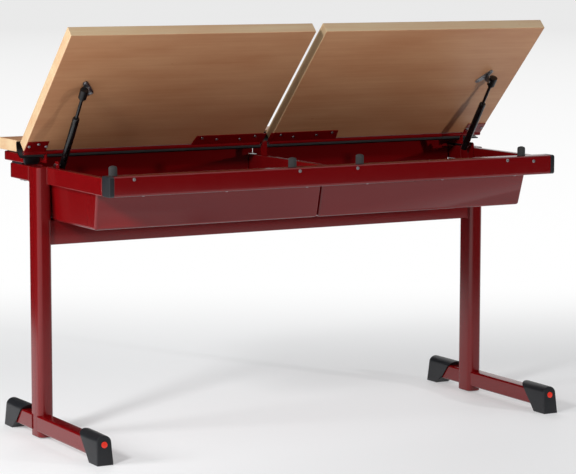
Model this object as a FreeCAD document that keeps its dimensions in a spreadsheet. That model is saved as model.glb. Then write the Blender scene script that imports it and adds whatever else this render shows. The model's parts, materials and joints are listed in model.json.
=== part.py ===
import FreeCAD, Part
import math
import os

import Sketcher

# Double school desk. X runs along the desk with the user's right positive, Y runs from the user to the back,
# Z is up. The origin is on the floor, midway between the screw heads on the beam and the back of the feet.
# The lids are drawn open, as they rest on their gas springs.

SIZES = {
    # whole desk
    "desk_length": 1300,
    "desk_height": 710,
    # wooden boards
    "board_thickness": 28,
    "board_edge_radius": 2,
    "lid_gap": 28,
    "lid_overhang": 11,
    "lid_depth": 397,
    "lid_open_angle": 45,
    "panel_gap": 40,
    "panel_depth": 107,
    # hinge line, below the underside of a closed lid
    "hinge_setback": 6,
    "hinge_drop": 0.5,
    "hinge_shaft_radius": 3,
    "hinge_running_gap": 0.05,
    "hinge_barrel_radius": 5,
    "hinge_end_gap": 0.5,
    "hinge_shaft_setback": 2,
    "leaf_thickness": 2,
    "inner_leaf_start": 4,
    "inner_leaf_length": 188,
    "inner_leaf_taper": 6,
    "inner_leaf_reach": 37,
    "outer_leaf_reach": 40,
    "barrel_end_setback": 2,
    "end_lug_thickness": 3,
    "lug_half_depth": 5.4,
    "end_lug_height": 10,
    "end_lug_lap": 18,
    "end_lug_lift": 2,
    "centre_lug_width": 12,
    # steel tubes of the frame
    "frame_end_gap": 42,
    "tube_wall": 2,
    "beam_depth": 41,
    "beam_height": 47,
    "beam_corner_radius": 6,
    "beam_cap_length": 12,
    "rail_height": 41,
    "rail_width": 20,
    "rail_corner_radius": 3,
    "rear_beam_gap": 64,
    "rear_beam_depth": 25,
    "column_overlap": 13,
    "column_width": 38,
    "column_lead": 45,
    "column_depth": 59,
    "column_corner_radius": 9,
    "column_top_radius": 3,
    "column_foot_gap": 3,
    "column_plug_height": 12,
    "arm_height": 36,
    "arm_length": 99,
    "gusset_thickness": 6,
    "gusset_depth": 14,
    "gusset_height": 77,
    "stretcher_height": 59,
    "stretcher_depth": 30,
    # upper side rails that carry the rear panel
    "upper_rail_end_gap": 17,
    "upper_rail_width": 40,
    "upper_rail_height": 22,
    "upper_rail_lead": 2,
    "upper_rail_length": 111,
    "pad_height": 4,
    "pad_inset": 2,
    "pad_length": 60,
    "strip_height": 6,
    "strip_inset": 3,
    "strip_length": 100,
    # plastic caps in tube ends
    "small_cap_length": 4,
    "nose_cap_length": 6,
    "nose_drop": 3,
    "spigot_length": 18,
    "spigot_fit": 0.2,
    "cap_edge_radius": 1,
    # feet
    "foot_offset": 3.5,
    "foot_rear_reach": 150,
    "foot_width": 35,
    "foot_height": 40,
    "foot_bottom": 16,
    "foot_corner_radius": 5,
    "foot_cap_width": 41,
    "foot_cap_height": 68,
    "foot_cap_start": 12,
    "front_cap_top_length": 110,
    "front_cap_bottom_length": 70,
    "rear_cap_top_length": 118,
    "rear_cap_bottom_length": 66,
    "foot_cap_shoulder": 8,
    "foot_cap_edge_radius": 5,
    "foot_cap_end_wall": 18,
    "foot_plug_radius": 7.5,
    "foot_plug_depth": 6,
    "foot_plug_recess": 0.4,
    "foot_plug_height": 47,
    # sheet metal trays
    "tray_sheet": 1.2,
    "tray_depth": 87,
    "tray_seam": 1.6,
    "tray_side_inset": 15,
    "tray_side_draft": 5,
    "tray_shelf": 60,
    "tray_front_slope": 22,
    "tray_back_gap": 18,
    "tray_back_slope": 15,
    "tray_corner_radius": 7,
    "tray_flange_lap": 19,
    "tray_side_gap": 1,
    "tray_back_rise": 18,
    "tray_plate_gap": 2,
    # pencil trough between the lids and the rear panel
    "trough_radius": 32,
    "trough_wall": 3,
    "trough_drop": 10,
    "trough_lip": 6,
    # lid buffers
    "buffer_radius": 10,
    "buffer_gap": 0.3,
    "buffer_taper": 1,
    "buffer_stem_radius": 3,
    # screws
    "screw_head_radius": 4,
    "screw_head_height": 2.4,
    "screw_head_taper": 1.2,
    "screw_shank_radius": 2,
    "screw_hole_gap": 0.1,
    "beam_screw_length": 9,
    "beam_screw_height": 39,
    "end_screw_height": 34,
    "hinge_screw_length": 18,
    "tray_screw_length": 10,
    "rail_bolt_radius": 4,
    "rail_bolt_head_radius": 7,
    "rail_bolt_head_height": 5,
    "rail_bolt_end_margin": 4,
    # gas springs
    "strut_gap": 18.5,
    "strut_foot_lead": 5,
    "strut_foot_rise": 5,
    "strut_lid_reach": 226.3,
    "strut_lid_drop": 17,
    "ball_radius": 5,
    "ball_running_gap": 0.05,
    "neck_radius": 2.6,
    "socket_radius": 8,
    "socket_back": 9,
    "socket_front": 14,
    "socket_mouth_radius": 4,
    "cylinder_radius": 7.5,
    "cylinder_length": 127,
    "cylinder_wall": 1.5,
    "cylinder_end_wall": 5,
    "rod_radius": 4,
    "rod_running_gap": 0.05,
    "piston_radius": 5.9,
    "piston_length": 8,
    "piston_inset": 9,
    "upper_ball_radius": 4,
    "upper_cavity_radius": 8.3,
    "upper_mouth_radius": 7,
    "upper_socket_radius": 10,
    "upper_socket_back": 10.5,
    "upper_socket_front": 13,
    "foot_lug_thickness": 3,
    "foot_lug_depth": 20,
    "foot_lug_fall": 31,
    "foot_lug_rise": 9,
    "stud_head_radius": 4,
    "stud_head_height": 3,
    "lid_bracket_gap": 11,
    "lid_bracket_thickness": 2,
    "lid_bracket_ear_depth": 20,
    "lid_bracket_ear_drop": 8,
    "lid_bracket_lead": 27.3,
    "lid_bracket_tail": 26.7,
    "lid_bracket_width": 41,
}

# Places along half the front beam, or along the piece that carries them
BEAM_SCREW_SHARES = (-0.918, -0.201, 0.062, 0.782)
END_SCREW_SHARE = 0.913
BUFFER_SHARES = (-0.99, -0.216, 0.092, 0.874)
INNER_LEAF_SCREW_SHARES = ((0.1, 0.78), (0.31, 0.54), (0.66, 0.62), (0.89, 0.81))
OUTER_LEAF_SCREW_SHARES = ((0.06, 0.57), (0.46, 0.8), (0.87, 0.62))
BRACKET_SCREW_SHARES = ((0.12, 0.82), (0.44, 0.52), (0.72, 0.19))
TRAY_SCREW_SHARES = (0.14, 0.5, 0.86)
PANEL_SCREW_SHARES = (0.25, 0.74)
RAIL_BOLT_SHARES = (0.22, 0.55)
OCTAGON_CORNER_SHARE = 0.414

X_AXIS = FreeCAD.Vector(1, 0, 0)
Y_AXIS = FreeCAD.Vector(0, 1, 0)
Z_AXIS = FreeCAD.Vector(0, 0, 1)
SIDES = (("left", -1), ("right", 1))


class Size:
    """A length or angle: its number beside the formula of sheet cells that gives it."""

    def __init__(self, number, formula):
        self.number = number
        self.formula = formula

    def __add__(self, other):
        if is_zero(self):
            return other
        if is_zero(other):
            return self
        return Size(self.number + other.number, f"({self.formula} + {other.formula})")

    def __sub__(self, other):
        if is_zero(other):
            return self
        return Size(self.number - other.number, f"({self.formula} - {other.formula})")

    def __mul__(self, factor):
        if isinstance(factor, Size):
            return Size(self.number * factor.number, f"({self.formula} * {factor.formula})")
        return Size(self.number * factor, f"({self.formula} * {factor})")

    def __truediv__(self, divisor):
        return Size(self.number / divisor, f"({self.formula} / {divisor})")

    def __neg__(self):
        if is_zero(self):
            return self
        return Size(-self.number, f"(0 - {self.formula})")


def is_zero(size):
    return size.formula == "0"


ZERO = Size(0.0, "0")


def cosine(angle):
    return Size(math.cos(math.radians(angle.number)), f"cos({angle.formula})")


def sine(angle):
    return Size(math.sin(math.radians(angle.number)), f"sin({angle.formula})")


def root(square):
    return Size(math.sqrt(square.number), f"sqrt({square.formula})")


def angle_of(rise, run):
    turned = math.degrees(math.atan2(rise.number, run.number))
    return Size(turned, f"(atan2({rise.formula}; {run.formula}) / 1 deg)")


class Cells:
    """Every cell of the sheet as a Size, under the cell's own name."""

    def __init__(self, table):
        for name, number in table.items():
            setattr(self, name, Size(float(number), f"Sizes.{name}"))


S = Cells(SIZES)
doc = FreeCAD.newDocument("DoubleSchoolDesk")
nodes = {}


def write_sheet():
    sheet = doc.addObject("Spreadsheet::Sheet", "Sizes")
    for row, (name, number) in enumerate(SIZES.items(), start=1):
        sheet.set(f"A{row}", name.replace("_", " "))
        sheet.set(f"B{row}", str(number))
        sheet.setAlias(f"B{row}", name)
    doc.recompute()


def half(size):
    return size / 2


# Distances from the middle of the desk

HALF_LENGTH = half(S.desk_length)
HALF_FRAME = HALF_LENGTH - S.frame_end_gap
BEAM_END = HALF_FRAME - S.beam_cap_length
RAIL_INNER = HALF_FRAME - S.rail_width
COLUMN_INNER = HALF_FRAME - S.column_overlap
COLUMN_OUTER = COLUMN_INNER + S.column_width
UPPER_RAIL_INNER = HALF_LENGTH - S.upper_rail_end_gap - S.upper_rail_width
FOOT_CENTRE = COLUMN_INNER + half(S.column_width) + S.foot_offset
TRAY_SIDE = HALF_FRAME - S.tray_side_inset
STRUT_OFFSET = RAIL_INNER - S.strut_gap

# Distances behind the front of the beam

HINGE_START = S.lid_depth - S.lid_overhang + S.hinge_setback
PANEL_START = HINGE_START + S.panel_gap
COLUMN_START = HINGE_START - S.column_lead
COLUMN_END = COLUMN_START + S.column_depth
REAR_BEAM_START = COLUMN_END + S.rear_beam_gap
ARM_END = COLUMN_END + S.arm_length
UPPER_RAIL_START = PANEL_START - S.upper_rail_lead
TRAY_FRONT = S.beam_depth + S.tray_shelf
TRAY_BACK = REAR_BEAM_START - S.tray_back_gap
FLANGE_FRONT = S.beam_depth - S.tray_flange_lap
FLANGE_BACK = REAR_BEAM_START + S.tray_flange_lap
STRUT_FOOT_START = COLUMN_START - S.strut_foot_lead
OVERALL_DEPTH = COLUMN_END + S.foot_rear_reach

# Distances from the hinge line along a lid

BRACKET_NEAR = S.strut_lid_reach - S.lid_bracket_lead
BRACKET_FAR = S.strut_lid_reach + S.lid_bracket_tail

# Heights above the floor

UNDERSIDE = S.desk_height - S.board_thickness
UPPER_RAIL_TOP = UNDERSIDE - S.strip_height
UPPER_RAIL_BOTTOM = UPPER_RAIL_TOP - S.upper_rail_height
RAIL_TOP = UPPER_RAIL_BOTTOM - S.pad_height
RAIL_BOTTOM = RAIL_TOP - S.rail_height
BEAM_TOP = RAIL_BOTTOM + S.beam_height
TRAY_BOTTOM = RAIL_BOTTOM - S.tray_depth
STRUT_FOOT_Z = RAIL_TOP + S.strut_foot_rise
FOOT_LUG_BOTTOM = STRUT_FOOT_Z - S.foot_lug_fall


def behind(distance):
    """Y of a point that lies this far behind the front of the beam, whose screw heads stand proud."""
    return distance - (OVERALL_DEPTH - S.screw_head_height) / 2


BEAM_BACK = behind(S.beam_depth)
COLUMN_FRONT = behind(COLUMN_START)
COLUMN_BACK = behind(COLUMN_END)
HINGE_Y = behind(HINGE_START)
HINGE_Z = UNDERSIDE - S.hinge_drop
LID_TURN = -S.lid_open_angle
FOOT_FRONT = behind(S.foot_cap_start)
FOOT_BACK = behind(OVERALL_DEPTH)
BARREL_BORE = S.hinge_shaft_radius + S.hinge_running_gap
SCREW_HOLE = S.screw_shank_radius + S.screw_hole_gap


def mirrored(side, near, far):
    """The lower and upper X of a stretch from near to far on this side."""
    if side > 0:
        return near, far
    return -far, -near


def signed(side, size):
    return size if side > 0 else -size


# Document helpers

def place(item, x=ZERO, y=ZERO, z=ZERO, axis=X_AXIS, angle=None, turn=None):
    """Put an object at x, y, z, with a turn that follows the sheet or a fixed one."""
    rotation = FreeCAD.Rotation()
    if angle is not None:
        rotation = FreeCAD.Rotation(axis, angle.number)
    if turn is not None:
        rotation = turn
    item.Placement = FreeCAD.Placement(FreeCAD.Vector(x.number, y.number, z.number), rotation)
    for name, size in (("x", x), ("y", y), ("z", z)):
        if not is_zero(size):
            item.setExpression(f"Placement.Base.{name}", size.formula)
    if angle is not None:
        item.setExpression("Placement.Rotation.Angle", angle.formula)


def register(item, label):
    item.Label = label
    nodes[label] = item
    return item


def new_body(label, **where):
    body = doc.addObject("PartDesign::Body", label)
    body.Label = label
    place(body, **where)
    return body


def origin_plane(body, role):
    return next(item for item in body.Origin.OriginFeatures if item.Role == role)


def new_sketch(body, name, role, lift):
    sketch = body.newObject("Sketcher::SketchObject", f"{body.Name}_{name}")
    sketch.AttachmentSupport = [(origin_plane(body, role), "")]
    sketch.MapMode = "FlatFace"
    if not is_zero(lift):
        sketch.setExpression("AttachmentOffset.Base.z", lift.formula)
    return sketch


def hold(sketch, index, point, across, up):
    """Tie a point of the sketch to its two coordinates."""
    for kind, size, axis in (("DistanceX", across, -2), ("DistanceY", up, -1)):
        if is_zero(size):
            sketch.addConstraint(Sketcher.Constraint("PointOnObject", index, point, axis))
            continue
        number = sketch.addConstraint(Sketcher.Constraint(kind, -1, 1, index, point, size.number))
        name = f"{kind}_{index}"
        sketch.renameConstraint(number, name)
        sketch.setExpression(f"Constraints.{name}", size.formula)


def add_ring(sketch, corners):
    """Add a closed outline of straight lines through corners, each a pair of sizes."""
    first = sketch.GeometryCount
    count = len(corners)
    points = [FreeCAD.Vector(across.number, up.number, 0) for across, up in corners]
    for number in range(count):
        sketch.addGeometry(Part.LineSegment(points[number], points[(number + 1) % count]), False)
    for number in range(count):
        following = first + (number + 1) % count
        sketch.addConstraint(Sketcher.Constraint("Coincident", first + number, 2, following, 1))
    for number, (across, up) in enumerate(corners):
        hold(sketch, first + number, 1, across, up)


def add_circle(sketch, across, up, radius):
    index = sketch.GeometryCount
    centre = FreeCAD.Vector(across.number, up.number, 0)
    sketch.addGeometry(Part.Circle(centre, Z_AXIS, radius.number), False)
    hold(sketch, index, 3, across, up)
    number = sketch.addConstraint(Sketcher.Constraint("Radius", index, radius.number))
    sketch.renameConstraint(number, f"Radius_{index}")
    sketch.setExpression(f"Constraints.Radius_{index}", radius.formula)


def outline(body, name, role, *rings, lift=ZERO):
    sketch = new_sketch(body, name, role, lift)
    for ring in rings:
        add_ring(sketch, ring)
    return sketch


def circles(body, name, role, centres, radius, lift=ZERO):
    sketch = new_sketch(body, name, role, lift)
    for across, up in centres:
        add_circle(sketch, across, up, radius)
    return sketch


def rectangle(low_across, low_up, high_across, high_up):
    return ((low_across, low_up), (high_across, low_up), (high_across, high_up), (low_across, high_up))


def pad(body, sketch, length, backwards=False):
    feature = body.newObject("PartDesign::Pad", f"{sketch.Name}_pad")
    feature.Profile = sketch
    feature.Reversed = backwards
    feature.setExpression("Length", length.formula)
    sketch.Visibility = False
    doc.recompute()
    return feature


def pocket(body, sketch, length, backwards=False):
    """Cut a pocket, and stop if it missed the solid."""
    before = body.Shape.Volume
    feature = body.newObject("PartDesign::Pocket", f"{sketch.Name}_pocket")
    feature.Profile = sketch
    feature.Reversed = backwards
    feature.setExpression("Length", length.formula)
    doc.recompute()
    if feature.Shape.isNull() or feature.Shape.Volume >= before:
        raise RuntimeError(f"{feature.Name} cuts nothing")
    return feature


def revolve(body, sketch):
    feature = body.newObject("PartDesign::Revolution", f"{sketch.Name}_turned")
    feature.Profile = sketch
    feature.ReferenceAxis = (sketch, ["V_Axis"])
    feature.Angle = 360
    doc.recompute()
    return feature


def is_along(edge, axis):
    if edge.Curve.TypeId != "Part::GeomLine":
        return False
    return abs(edge.tangentAt(edge.FirstParameter).dot(axis)) > math.cos(math.radians(1))


def round_edges(body, radius, chosen):
    """Round the edges of the body's last feature for which chosen is true."""
    base = body.Tip
    names = [f"Edge{number}" for number, edge in enumerate(base.Shape.Edges, start=1) if chosen(edge)]
    feature = body.newObject("PartDesign::Fillet", f"{base.Name}_rounded")
    feature.Base = (base, names)
    feature.setExpression("Radius", radius.formula)
    doc.recompute()
    return feature


def round_along(body, radius, axis):
    return round_edges(body, radius, lambda edge: is_along(edge, axis))


def end_faces(shape, axis, low_open, high_open):
    """Names of the flat faces at the low and the high end along axis."""
    flat = []
    for number, face in enumerate(shape.Faces, start=1):
        if face.Surface.TypeId != "Part::GeomPlane":
            continue
        if abs(face.normalAt(0, 0).dot(axis)) > math.cos(math.radians(1)):
            flat.append((face.CenterOfMass.dot(axis), f"Face{number}"))
    flat.sort()
    names = []
    if low_open:
        names.append(flat[0][1])
    if high_open:
        names.append(flat[-1][1])
    return names


def hollow(body, wall, axis, low_open=True, high_open=True):
    base = body.Tip
    feature = body.newObject("PartDesign::Thickness", f"{base.Name}_hollow")
    feature.Base = (base, end_faces(base.Shape, axis, low_open, high_open))
    feature.Reversed = True
    feature.setExpression("Value", wall.formula)
    doc.recompute()
    return feature


PLANES = {"x": ("YZ_Plane", X_AXIS), "y": ("XZ_Plane", Y_AXIS), "z": ("XY_Plane", Z_AXIS)}


def bar(label, low, high, along, corner):
    """Solid bar between two corner points, its edges rounded along its length."""
    role, axis = PLANES[along]
    body = new_body(label, x=low[0], y=low[1], z=low[2])
    spans = {name: top - bottom for name, bottom, top in zip("xyz", low, high)}
    across, up = {"x": "yz", "y": "xz", "z": "xy"}[along]
    sketch = outline(body, "section", role, rectangle(ZERO, ZERO, spans[across], spans[up]))
    pad(body, sketch, spans[along], backwards=along == "y")
    if corner is not None:
        round_along(body, corner, axis)
    return body


def tube(label, low, high, along, corner, low_open=True, high_open=True):
    """Rounded rectangular tube between two corner points."""
    body = bar(label, low, high, along, corner)
    hollow(body, S.tube_wall, PLANES[along][1], low_open, high_open)
    return body


def tube_cap(label, low, high, along, outward, head, corner):
    """Plastic cap on a tube end: a head as large as the tube and a spigot inside it.

    low and high are the corners of the tube's end face, and outward is the direction that the head
    grows in along the tube, minus or plus one.
    """
    role, axis = PLANES[along]
    body = new_body(label, x=low[0], y=low[1], z=low[2])
    spans = {name: top - bottom for name, bottom, top in zip("xyz", low, high)}
    across, up = {"x": "yz", "y": "xz", "z": "xy"}[along]
    width = spans[across]
    height = spans[up]
    forwards = (outward > 0) != (along == "y")
    sketch = outline(body, "head", role, rectangle(ZERO, ZERO, width, height))
    pad(body, sketch, head, backwards=not forwards)
    round_along(body, corner, axis)
    outermost = axis * outward
    reach = head.number * outward

    def on_outer_face(edge):
        middle = edge.CenterOfMass
        return abs(middle.dot(axis) - reach) < abs(reach) / 100

    round_edges(body, S.cap_edge_radius, on_outer_face)
    inset = S.tube_wall + S.spigot_fit
    sketch = outline(body, "spigot", role, rectangle(inset, inset, width - inset, height - inset))
    pad(body, sketch, S.spigot_length, backwards=forwards)
    inner_corner = corner - inset
    if inner_corner.number > 0:
        spigot_end = -outermost

        def on_spigot(edge):
            return is_along(edge, axis) and edge.CenterOfMass.dot(spigot_end) > 0

        round_edges(body, inner_corner, on_spigot)
    return body


def primitive(kind, name, **sizes):
    item = doc.addObject(kind, name)
    for key, size in sizes.items():
        item.setExpression(key, size.formula)
    return item


def turned_to(direction):
    return FreeCAD.Rotation(Z_AXIS, direction)


def group(label, members, **where):
    """One node of several separate solids."""
    compound = doc.addObject("Part::Compound", label)
    compound.Links = members
    place(compound, **where)
    return register(compound, label)


def fuse(name, members):
    joined = doc.addObject("Part::MultiFuse", name)
    joined.Shapes = members
    return joined


def cut(name, base, tool):
    item = doc.addObject("Part::Cut", name)
    item.Base = base
    item.Tool = tool
    return item


def pan_screw(name, length, x, y, z, direction):
    """Pan-head screw whose head seats at x, y, z and points along direction, its shank the other way."""
    head = primitive("Part::Cone", f"{name}_head", Radius1=S.screw_head_radius,
                     Radius2=S.screw_head_radius - S.screw_head_taper, Height=S.screw_head_height)
    shank = primitive("Part::Cylinder", f"{name}_shank", Radius=S.screw_shank_radius, Height=length)
    place(shank, z=-length)
    screw = fuse(name, [head, shank])
    place(screw, x=x, y=y, z=z, turn=turned_to(direction))
    return screw


# Front beam

def beam_screw_places():
    """X and height above the beam's bottom of each screw on the beam's face."""
    places = [(BEAM_END * share, S.beam_screw_height) for share in BEAM_SCREW_SHARES]
    places.append((BEAM_END * END_SCREW_SHARE, S.end_screw_height))
    return places


def buffer_places():
    return [(BEAM_END * share, behind(half(S.beam_depth))) for share in BUFFER_SHARES]


def make_front_beam():
    end = BEAM_END
    low = (-end, behind(ZERO), RAIL_BOTTOM)
    high = (end, BEAM_BACK, BEAM_TOP)
    body = tube("front_beam", low, high, "x", S.beam_corner_radius)
    face = circles(body, "screw_holes", "XZ_Plane",
                   [(x + end, up) for x, up in beam_screw_places()], SCREW_HOLE)
    pocket(body, face, S.tube_wall * 2, backwards=False)
    top = circles(body, "stem_holes", "XY_Plane",
                  [(x + end, y - behind(ZERO)) for x, y in buffer_places()],
                  S.buffer_stem_radius + S.screw_hole_gap, lift=S.beam_height)
    pocket(body, top, S.tube_wall * 2)
    register(body, "front_beam")

    caps = []
    for name, side in SIDES:
        x = signed(side, end)
        caps.append(tube_cap(f"front_beam_cap_{name}", (x, low[1], low[2]), (x, high[1], high[2]), "x",
                             side, S.beam_cap_length, S.beam_corner_radius))
    group("front_beam_caps", caps)

    screws = []
    for number, (x, up) in enumerate(beam_screw_places(), start=1):
        screws.append(pan_screw(f"beam_screw_{number}", S.beam_screw_length,
                                x, behind(ZERO), RAIL_BOTTOM + up, -Y_AXIS))
    group("beam_screws", screws)


def make_buffers():
    height = UNDERSIDE - BEAM_TOP - S.buffer_gap
    buffers = []
    for number, (x, y) in enumerate(buffer_places(), start=1):
        foot = primitive("Part::Cone", f"buffer_{number}_foot", Radius1=S.buffer_radius,
                         Radius2=S.buffer_radius - S.buffer_taper, Height=height)
        stem = primitive("Part::Cylinder", f"buffer_{number}_stem", Radius=S.buffer_stem_radius,
                         Height=S.tube_wall)
        place(stem, z=-S.tube_wall)
        whole = fuse(f"lid_buffer_{number}", [foot, stem])
        place(whole, x=x, y=y, z=BEAM_TOP)
        buffers.append(whole)
    group("lid_buffers", buffers)


# Rails, rear beam, columns and stretcher

def make_rails():
    for name, side in SIDES:
        low_x, high_x = mirrored(side, RAIL_INNER, HALF_FRAME)
        body = tube(f"end_rail_{name}", (low_x, BEAM_BACK, RAIL_BOTTOM), (high_x, COLUMN_FRONT, RAIL_TOP),
                    "y", S.rail_corner_radius)
        register(body, f"end_rail_{name}")
    rear = behind(REAR_BEAM_START)
    body = tube("middle_rail", (-half(S.rail_width), BEAM_BACK, RAIL_BOTTOM),
                (half(S.rail_width), rear, RAIL_TOP), "y", S.rail_corner_radius)
    register(body, "middle_rail")
    body = tube("rear_beam", (-COLUMN_INNER, rear, RAIL_BOTTOM),
                (COLUMN_INNER, rear + S.rear_beam_depth, RAIL_TOP), "x", S.rail_corner_radius)
    register(body, "rear_beam")


def make_columns():
    plugs = []
    inset = S.tube_wall + S.spigot_fit
    for name, side in SIDES:
        low_x, high_x = mirrored(side, COLUMN_INNER, COLUMN_OUTER)
        low = (low_x, COLUMN_FRONT, S.column_foot_gap)
        body = bar(f"column_{name}", low, (high_x, COLUMN_BACK, RAIL_TOP), "z", S.column_corner_radius)
        height = RAIL_TOP - S.column_foot_gap

        def on_top(edge, height=height):
            return abs(edge.CenterOfMass.z - height.number) < S.tube_wall.number / 100

        round_edges(body, S.column_top_radius, on_top)
        hollow(body, S.tube_wall, Z_AXIS, low_open=True, high_open=False)
        register(body, f"column_{name}")
        plug = bar(f"column_plug_{name}", (low_x + inset, COLUMN_FRONT + inset, S.column_foot_gap),
                   (high_x - inset, COLUMN_BACK - inset, S.column_foot_gap + S.column_plug_height), "z",
                   S.column_corner_radius - inset)
        plugs.append(plug)
    group("column_plugs", plugs)


def arm_bottom():
    return RAIL_TOP - S.arm_height


def make_rear_arms():
    caps = []
    gussets = []
    for name, side in SIDES:
        low_x, high_x = mirrored(side, COLUMN_INNER, COLUMN_OUTER)
        end = behind(ARM_END)
        low = (low_x, COLUMN_BACK, arm_bottom())
        high = (high_x, end, RAIL_TOP)
        body = tube(f"rear_arm_{name}", low, high, "y", S.rail_corner_radius)
        middle = half(S.column_width)
        bolts = [(middle, bolt_y(share) - COLUMN_BACK) for share in RAIL_BOLT_SHARES]
        sketch = circles(body, "bolt_holes", "XY_Plane", bolts, S.rail_bolt_radius + S.screw_hole_gap,
                         lift=S.arm_height)
        pocket(body, sketch, S.arm_height)
        register(body, f"rear_arm_{name}")
        caps.append(tube_cap(f"rear_arm_cap_{name}", (low_x, end, arm_bottom()), (high_x, end, RAIL_TOP), "y",
                             1, S.small_cap_length, S.rail_corner_radius))

        near = half(low_x + high_x) - half(S.gusset_thickness)
        plate = new_body(f"column_gusset_{name}", x=near, y=COLUMN_BACK, z=arm_bottom() - S.gusset_height)
        side_view = ((ZERO, ZERO), (S.gusset_depth, S.gusset_depth), (S.gusset_depth, S.gusset_height),
                     (ZERO, S.gusset_height))
        pad(plate, outline(plate, "side", "YZ_Plane", side_view), S.gusset_thickness)
        gussets.append(plate)
    group("rear_arm_caps", caps)
    group("column_gussets", gussets)


def make_stretcher():
    centre = COLUMN_FRONT + half(S.column_depth)
    low = (-COLUMN_INNER, centre - half(S.stretcher_depth), TRAY_BOTTOM - S.stretcher_height)
    high = (COLUMN_INNER, centre + half(S.stretcher_depth), TRAY_BOTTOM)
    register(tube("stretcher", low, high, "x", S.rail_corner_radius), "stretcher")


# Upper side rails, with what lies under and over them

def pad_start():
    return behind(ARM_END) - S.pad_length - S.pad_inset


def bolt_y(share):
    return pad_start() + S.pad_length * share


def upper_rail_y(share):
    return behind(UPPER_RAIL_START) + S.upper_rail_length * share


def make_upper_rails():
    front_caps = []
    rear_caps = []
    pads = []
    strips = []
    bolts = []
    screws = []
    start = behind(UPPER_RAIL_START)
    end = start + S.upper_rail_length
    top = UPPER_RAIL_TOP
    bolt_hole = S.rail_bolt_radius + S.screw_hole_gap
    for name, side in SIDES:
        low_x, high_x = mirrored(side, UPPER_RAIL_INNER, UPPER_RAIL_INNER + S.upper_rail_width)
        body = tube(f"upper_rail_{name}", (low_x, start, UPPER_RAIL_BOTTOM), (high_x, end, top), "y",
                    S.rail_corner_radius)
        column_middle = signed(side, COLUMN_INNER + half(S.column_width))
        bolt_centres = [(column_middle - low_x, bolt_y(share) - start) for share in RAIL_BOLT_SHARES]
        pocket(body, circles(body, "bolt_holes", "XY_Plane", bolt_centres, bolt_hole), S.tube_wall * 2,
               backwards=True)
        rail_middle = half(low_x + high_x)
        screw_centres = [(rail_middle - low_x, upper_rail_y(share) - start) for share in PANEL_SCREW_SHARES]
        pocket(body, circles(body, "screw_holes", "XY_Plane", screw_centres, SCREW_HOLE,
                             lift=S.upper_rail_height), S.tube_wall * 2)
        register(body, f"upper_rail_{name}")

        front_caps.append(nose_cap(f"upper_rail_front_cap_{name}", low_x, high_x, start, top))
        rear_caps.append(tube_cap(f"upper_rail_rear_cap_{name}", (low_x, end, UPPER_RAIL_BOTTOM),
                                  (high_x, end, top), "y", 1, S.small_cap_length, S.rail_corner_radius))
        arm_low, arm_high = mirrored(side, COLUMN_INNER + S.pad_inset, COLUMN_OUTER - S.pad_inset)
        flat = bar(f"rail_pad_{name}", (arm_low, pad_start(), RAIL_TOP),
                   (arm_high, pad_start() + S.pad_length, UPPER_RAIL_BOTTOM), "z", None)
        pad_centres = [(column_middle - arm_low, S.pad_length * share) for share in RAIL_BOLT_SHARES]
        pocket(flat, circles(flat, "bolt_holes", "XY_Plane", pad_centres, bolt_hole), S.pad_height,
               backwards=True)
        pads.append(flat)
        strip_start = start + S.strip_inset
        strip = bar(f"panel_strip_{name}", (low_x + S.strip_inset, strip_start, top),
                    (high_x - S.strip_inset, strip_start + S.strip_length, UNDERSIDE), "z", None)
        strip_centres = [(rail_middle - low_x - S.strip_inset, upper_rail_y(share) - strip_start)
                         for share in PANEL_SCREW_SHARES]
        pocket(strip, circles(strip, "screw_holes", "XY_Plane", strip_centres, SCREW_HOLE),
               S.strip_height, backwards=True)
        strips.append(strip)
        for number, share in enumerate(RAIL_BOLT_SHARES, start=1):
            bolts.append(rail_bolt(f"rail_bolt_{name}_{number}", column_middle, bolt_y(share)))
        for number, share in enumerate(PANEL_SCREW_SHARES, start=1):
            screws.append(pan_screw(f"panel_screw_{name}_{number}", S.hinge_screw_length, rail_middle,
                                    upper_rail_y(share), top - S.tube_wall, -Z_AXIS))
    group("upper_rail_front_caps", front_caps)
    group("upper_rail_rear_caps", rear_caps)
    group("rail_pads", pads)
    group("panel_strips", strips)
    group("rail_bolts", bolts)
    group("panel_screws", screws)


def nose_cap(label, low_x, high_x, start, top):
    """Front cap of an upper side rail, with a nose that hangs a little below the tube."""
    body = tube_cap(label, (low_x, start, UPPER_RAIL_BOTTOM), (high_x, start, top), "y", -1,
                    S.nose_cap_length, S.rail_corner_radius)
    inset = S.rail_corner_radius
    width = high_x - low_x
    nose = outline(body, "nose", "XZ_Plane", rectangle(inset, -S.nose_drop, width - inset, inset))
    pad(body, nose, S.nose_cap_length - S.cap_edge_radius)
    return body


def rail_bolt(name, x, y):
    """Bolt from under the rear arm, through the pad, into the upper side rail."""
    length = S.arm_height + S.pad_height + S.tube_wall + S.rail_bolt_end_margin
    head = primitive("Part::Cylinder", f"{name}_head", Radius=S.rail_bolt_head_radius,
                     Height=S.rail_bolt_head_height)
    shank = primitive("Part::Cylinder", f"{name}_shank", Radius=S.rail_bolt_radius, Height=length)
    place(shank, z=-length)
    bolt = fuse(name, [head, shank])
    place(bolt, x=x, y=y, z=arm_bottom(), turn=turned_to(-Z_AXIS))
    return bolt


# Feet

def foot_x(side):
    return mirrored(side, FOOT_CENTRE - half(S.foot_width), FOOT_CENTRE + half(S.foot_width))


def make_foot_tubes():
    top = S.foot_bottom + S.foot_height
    for name, side in SIDES:
        low_x, high_x = foot_x(side)
        front = FOOT_FRONT + S.foot_cap_end_wall
        body = tube(f"foot_front_{name}", (low_x, front, S.foot_bottom), (high_x, COLUMN_FRONT, top), "y",
                    S.foot_corner_radius)
        register(body, f"foot_front_{name}")
        back = FOOT_BACK - S.foot_cap_end_wall
        body = tube(f"foot_rear_{name}", (low_x, COLUMN_BACK, S.foot_bottom), (high_x, back, top), "y",
                    S.foot_corner_radius)
        register(body, f"foot_rear_{name}")


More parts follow.
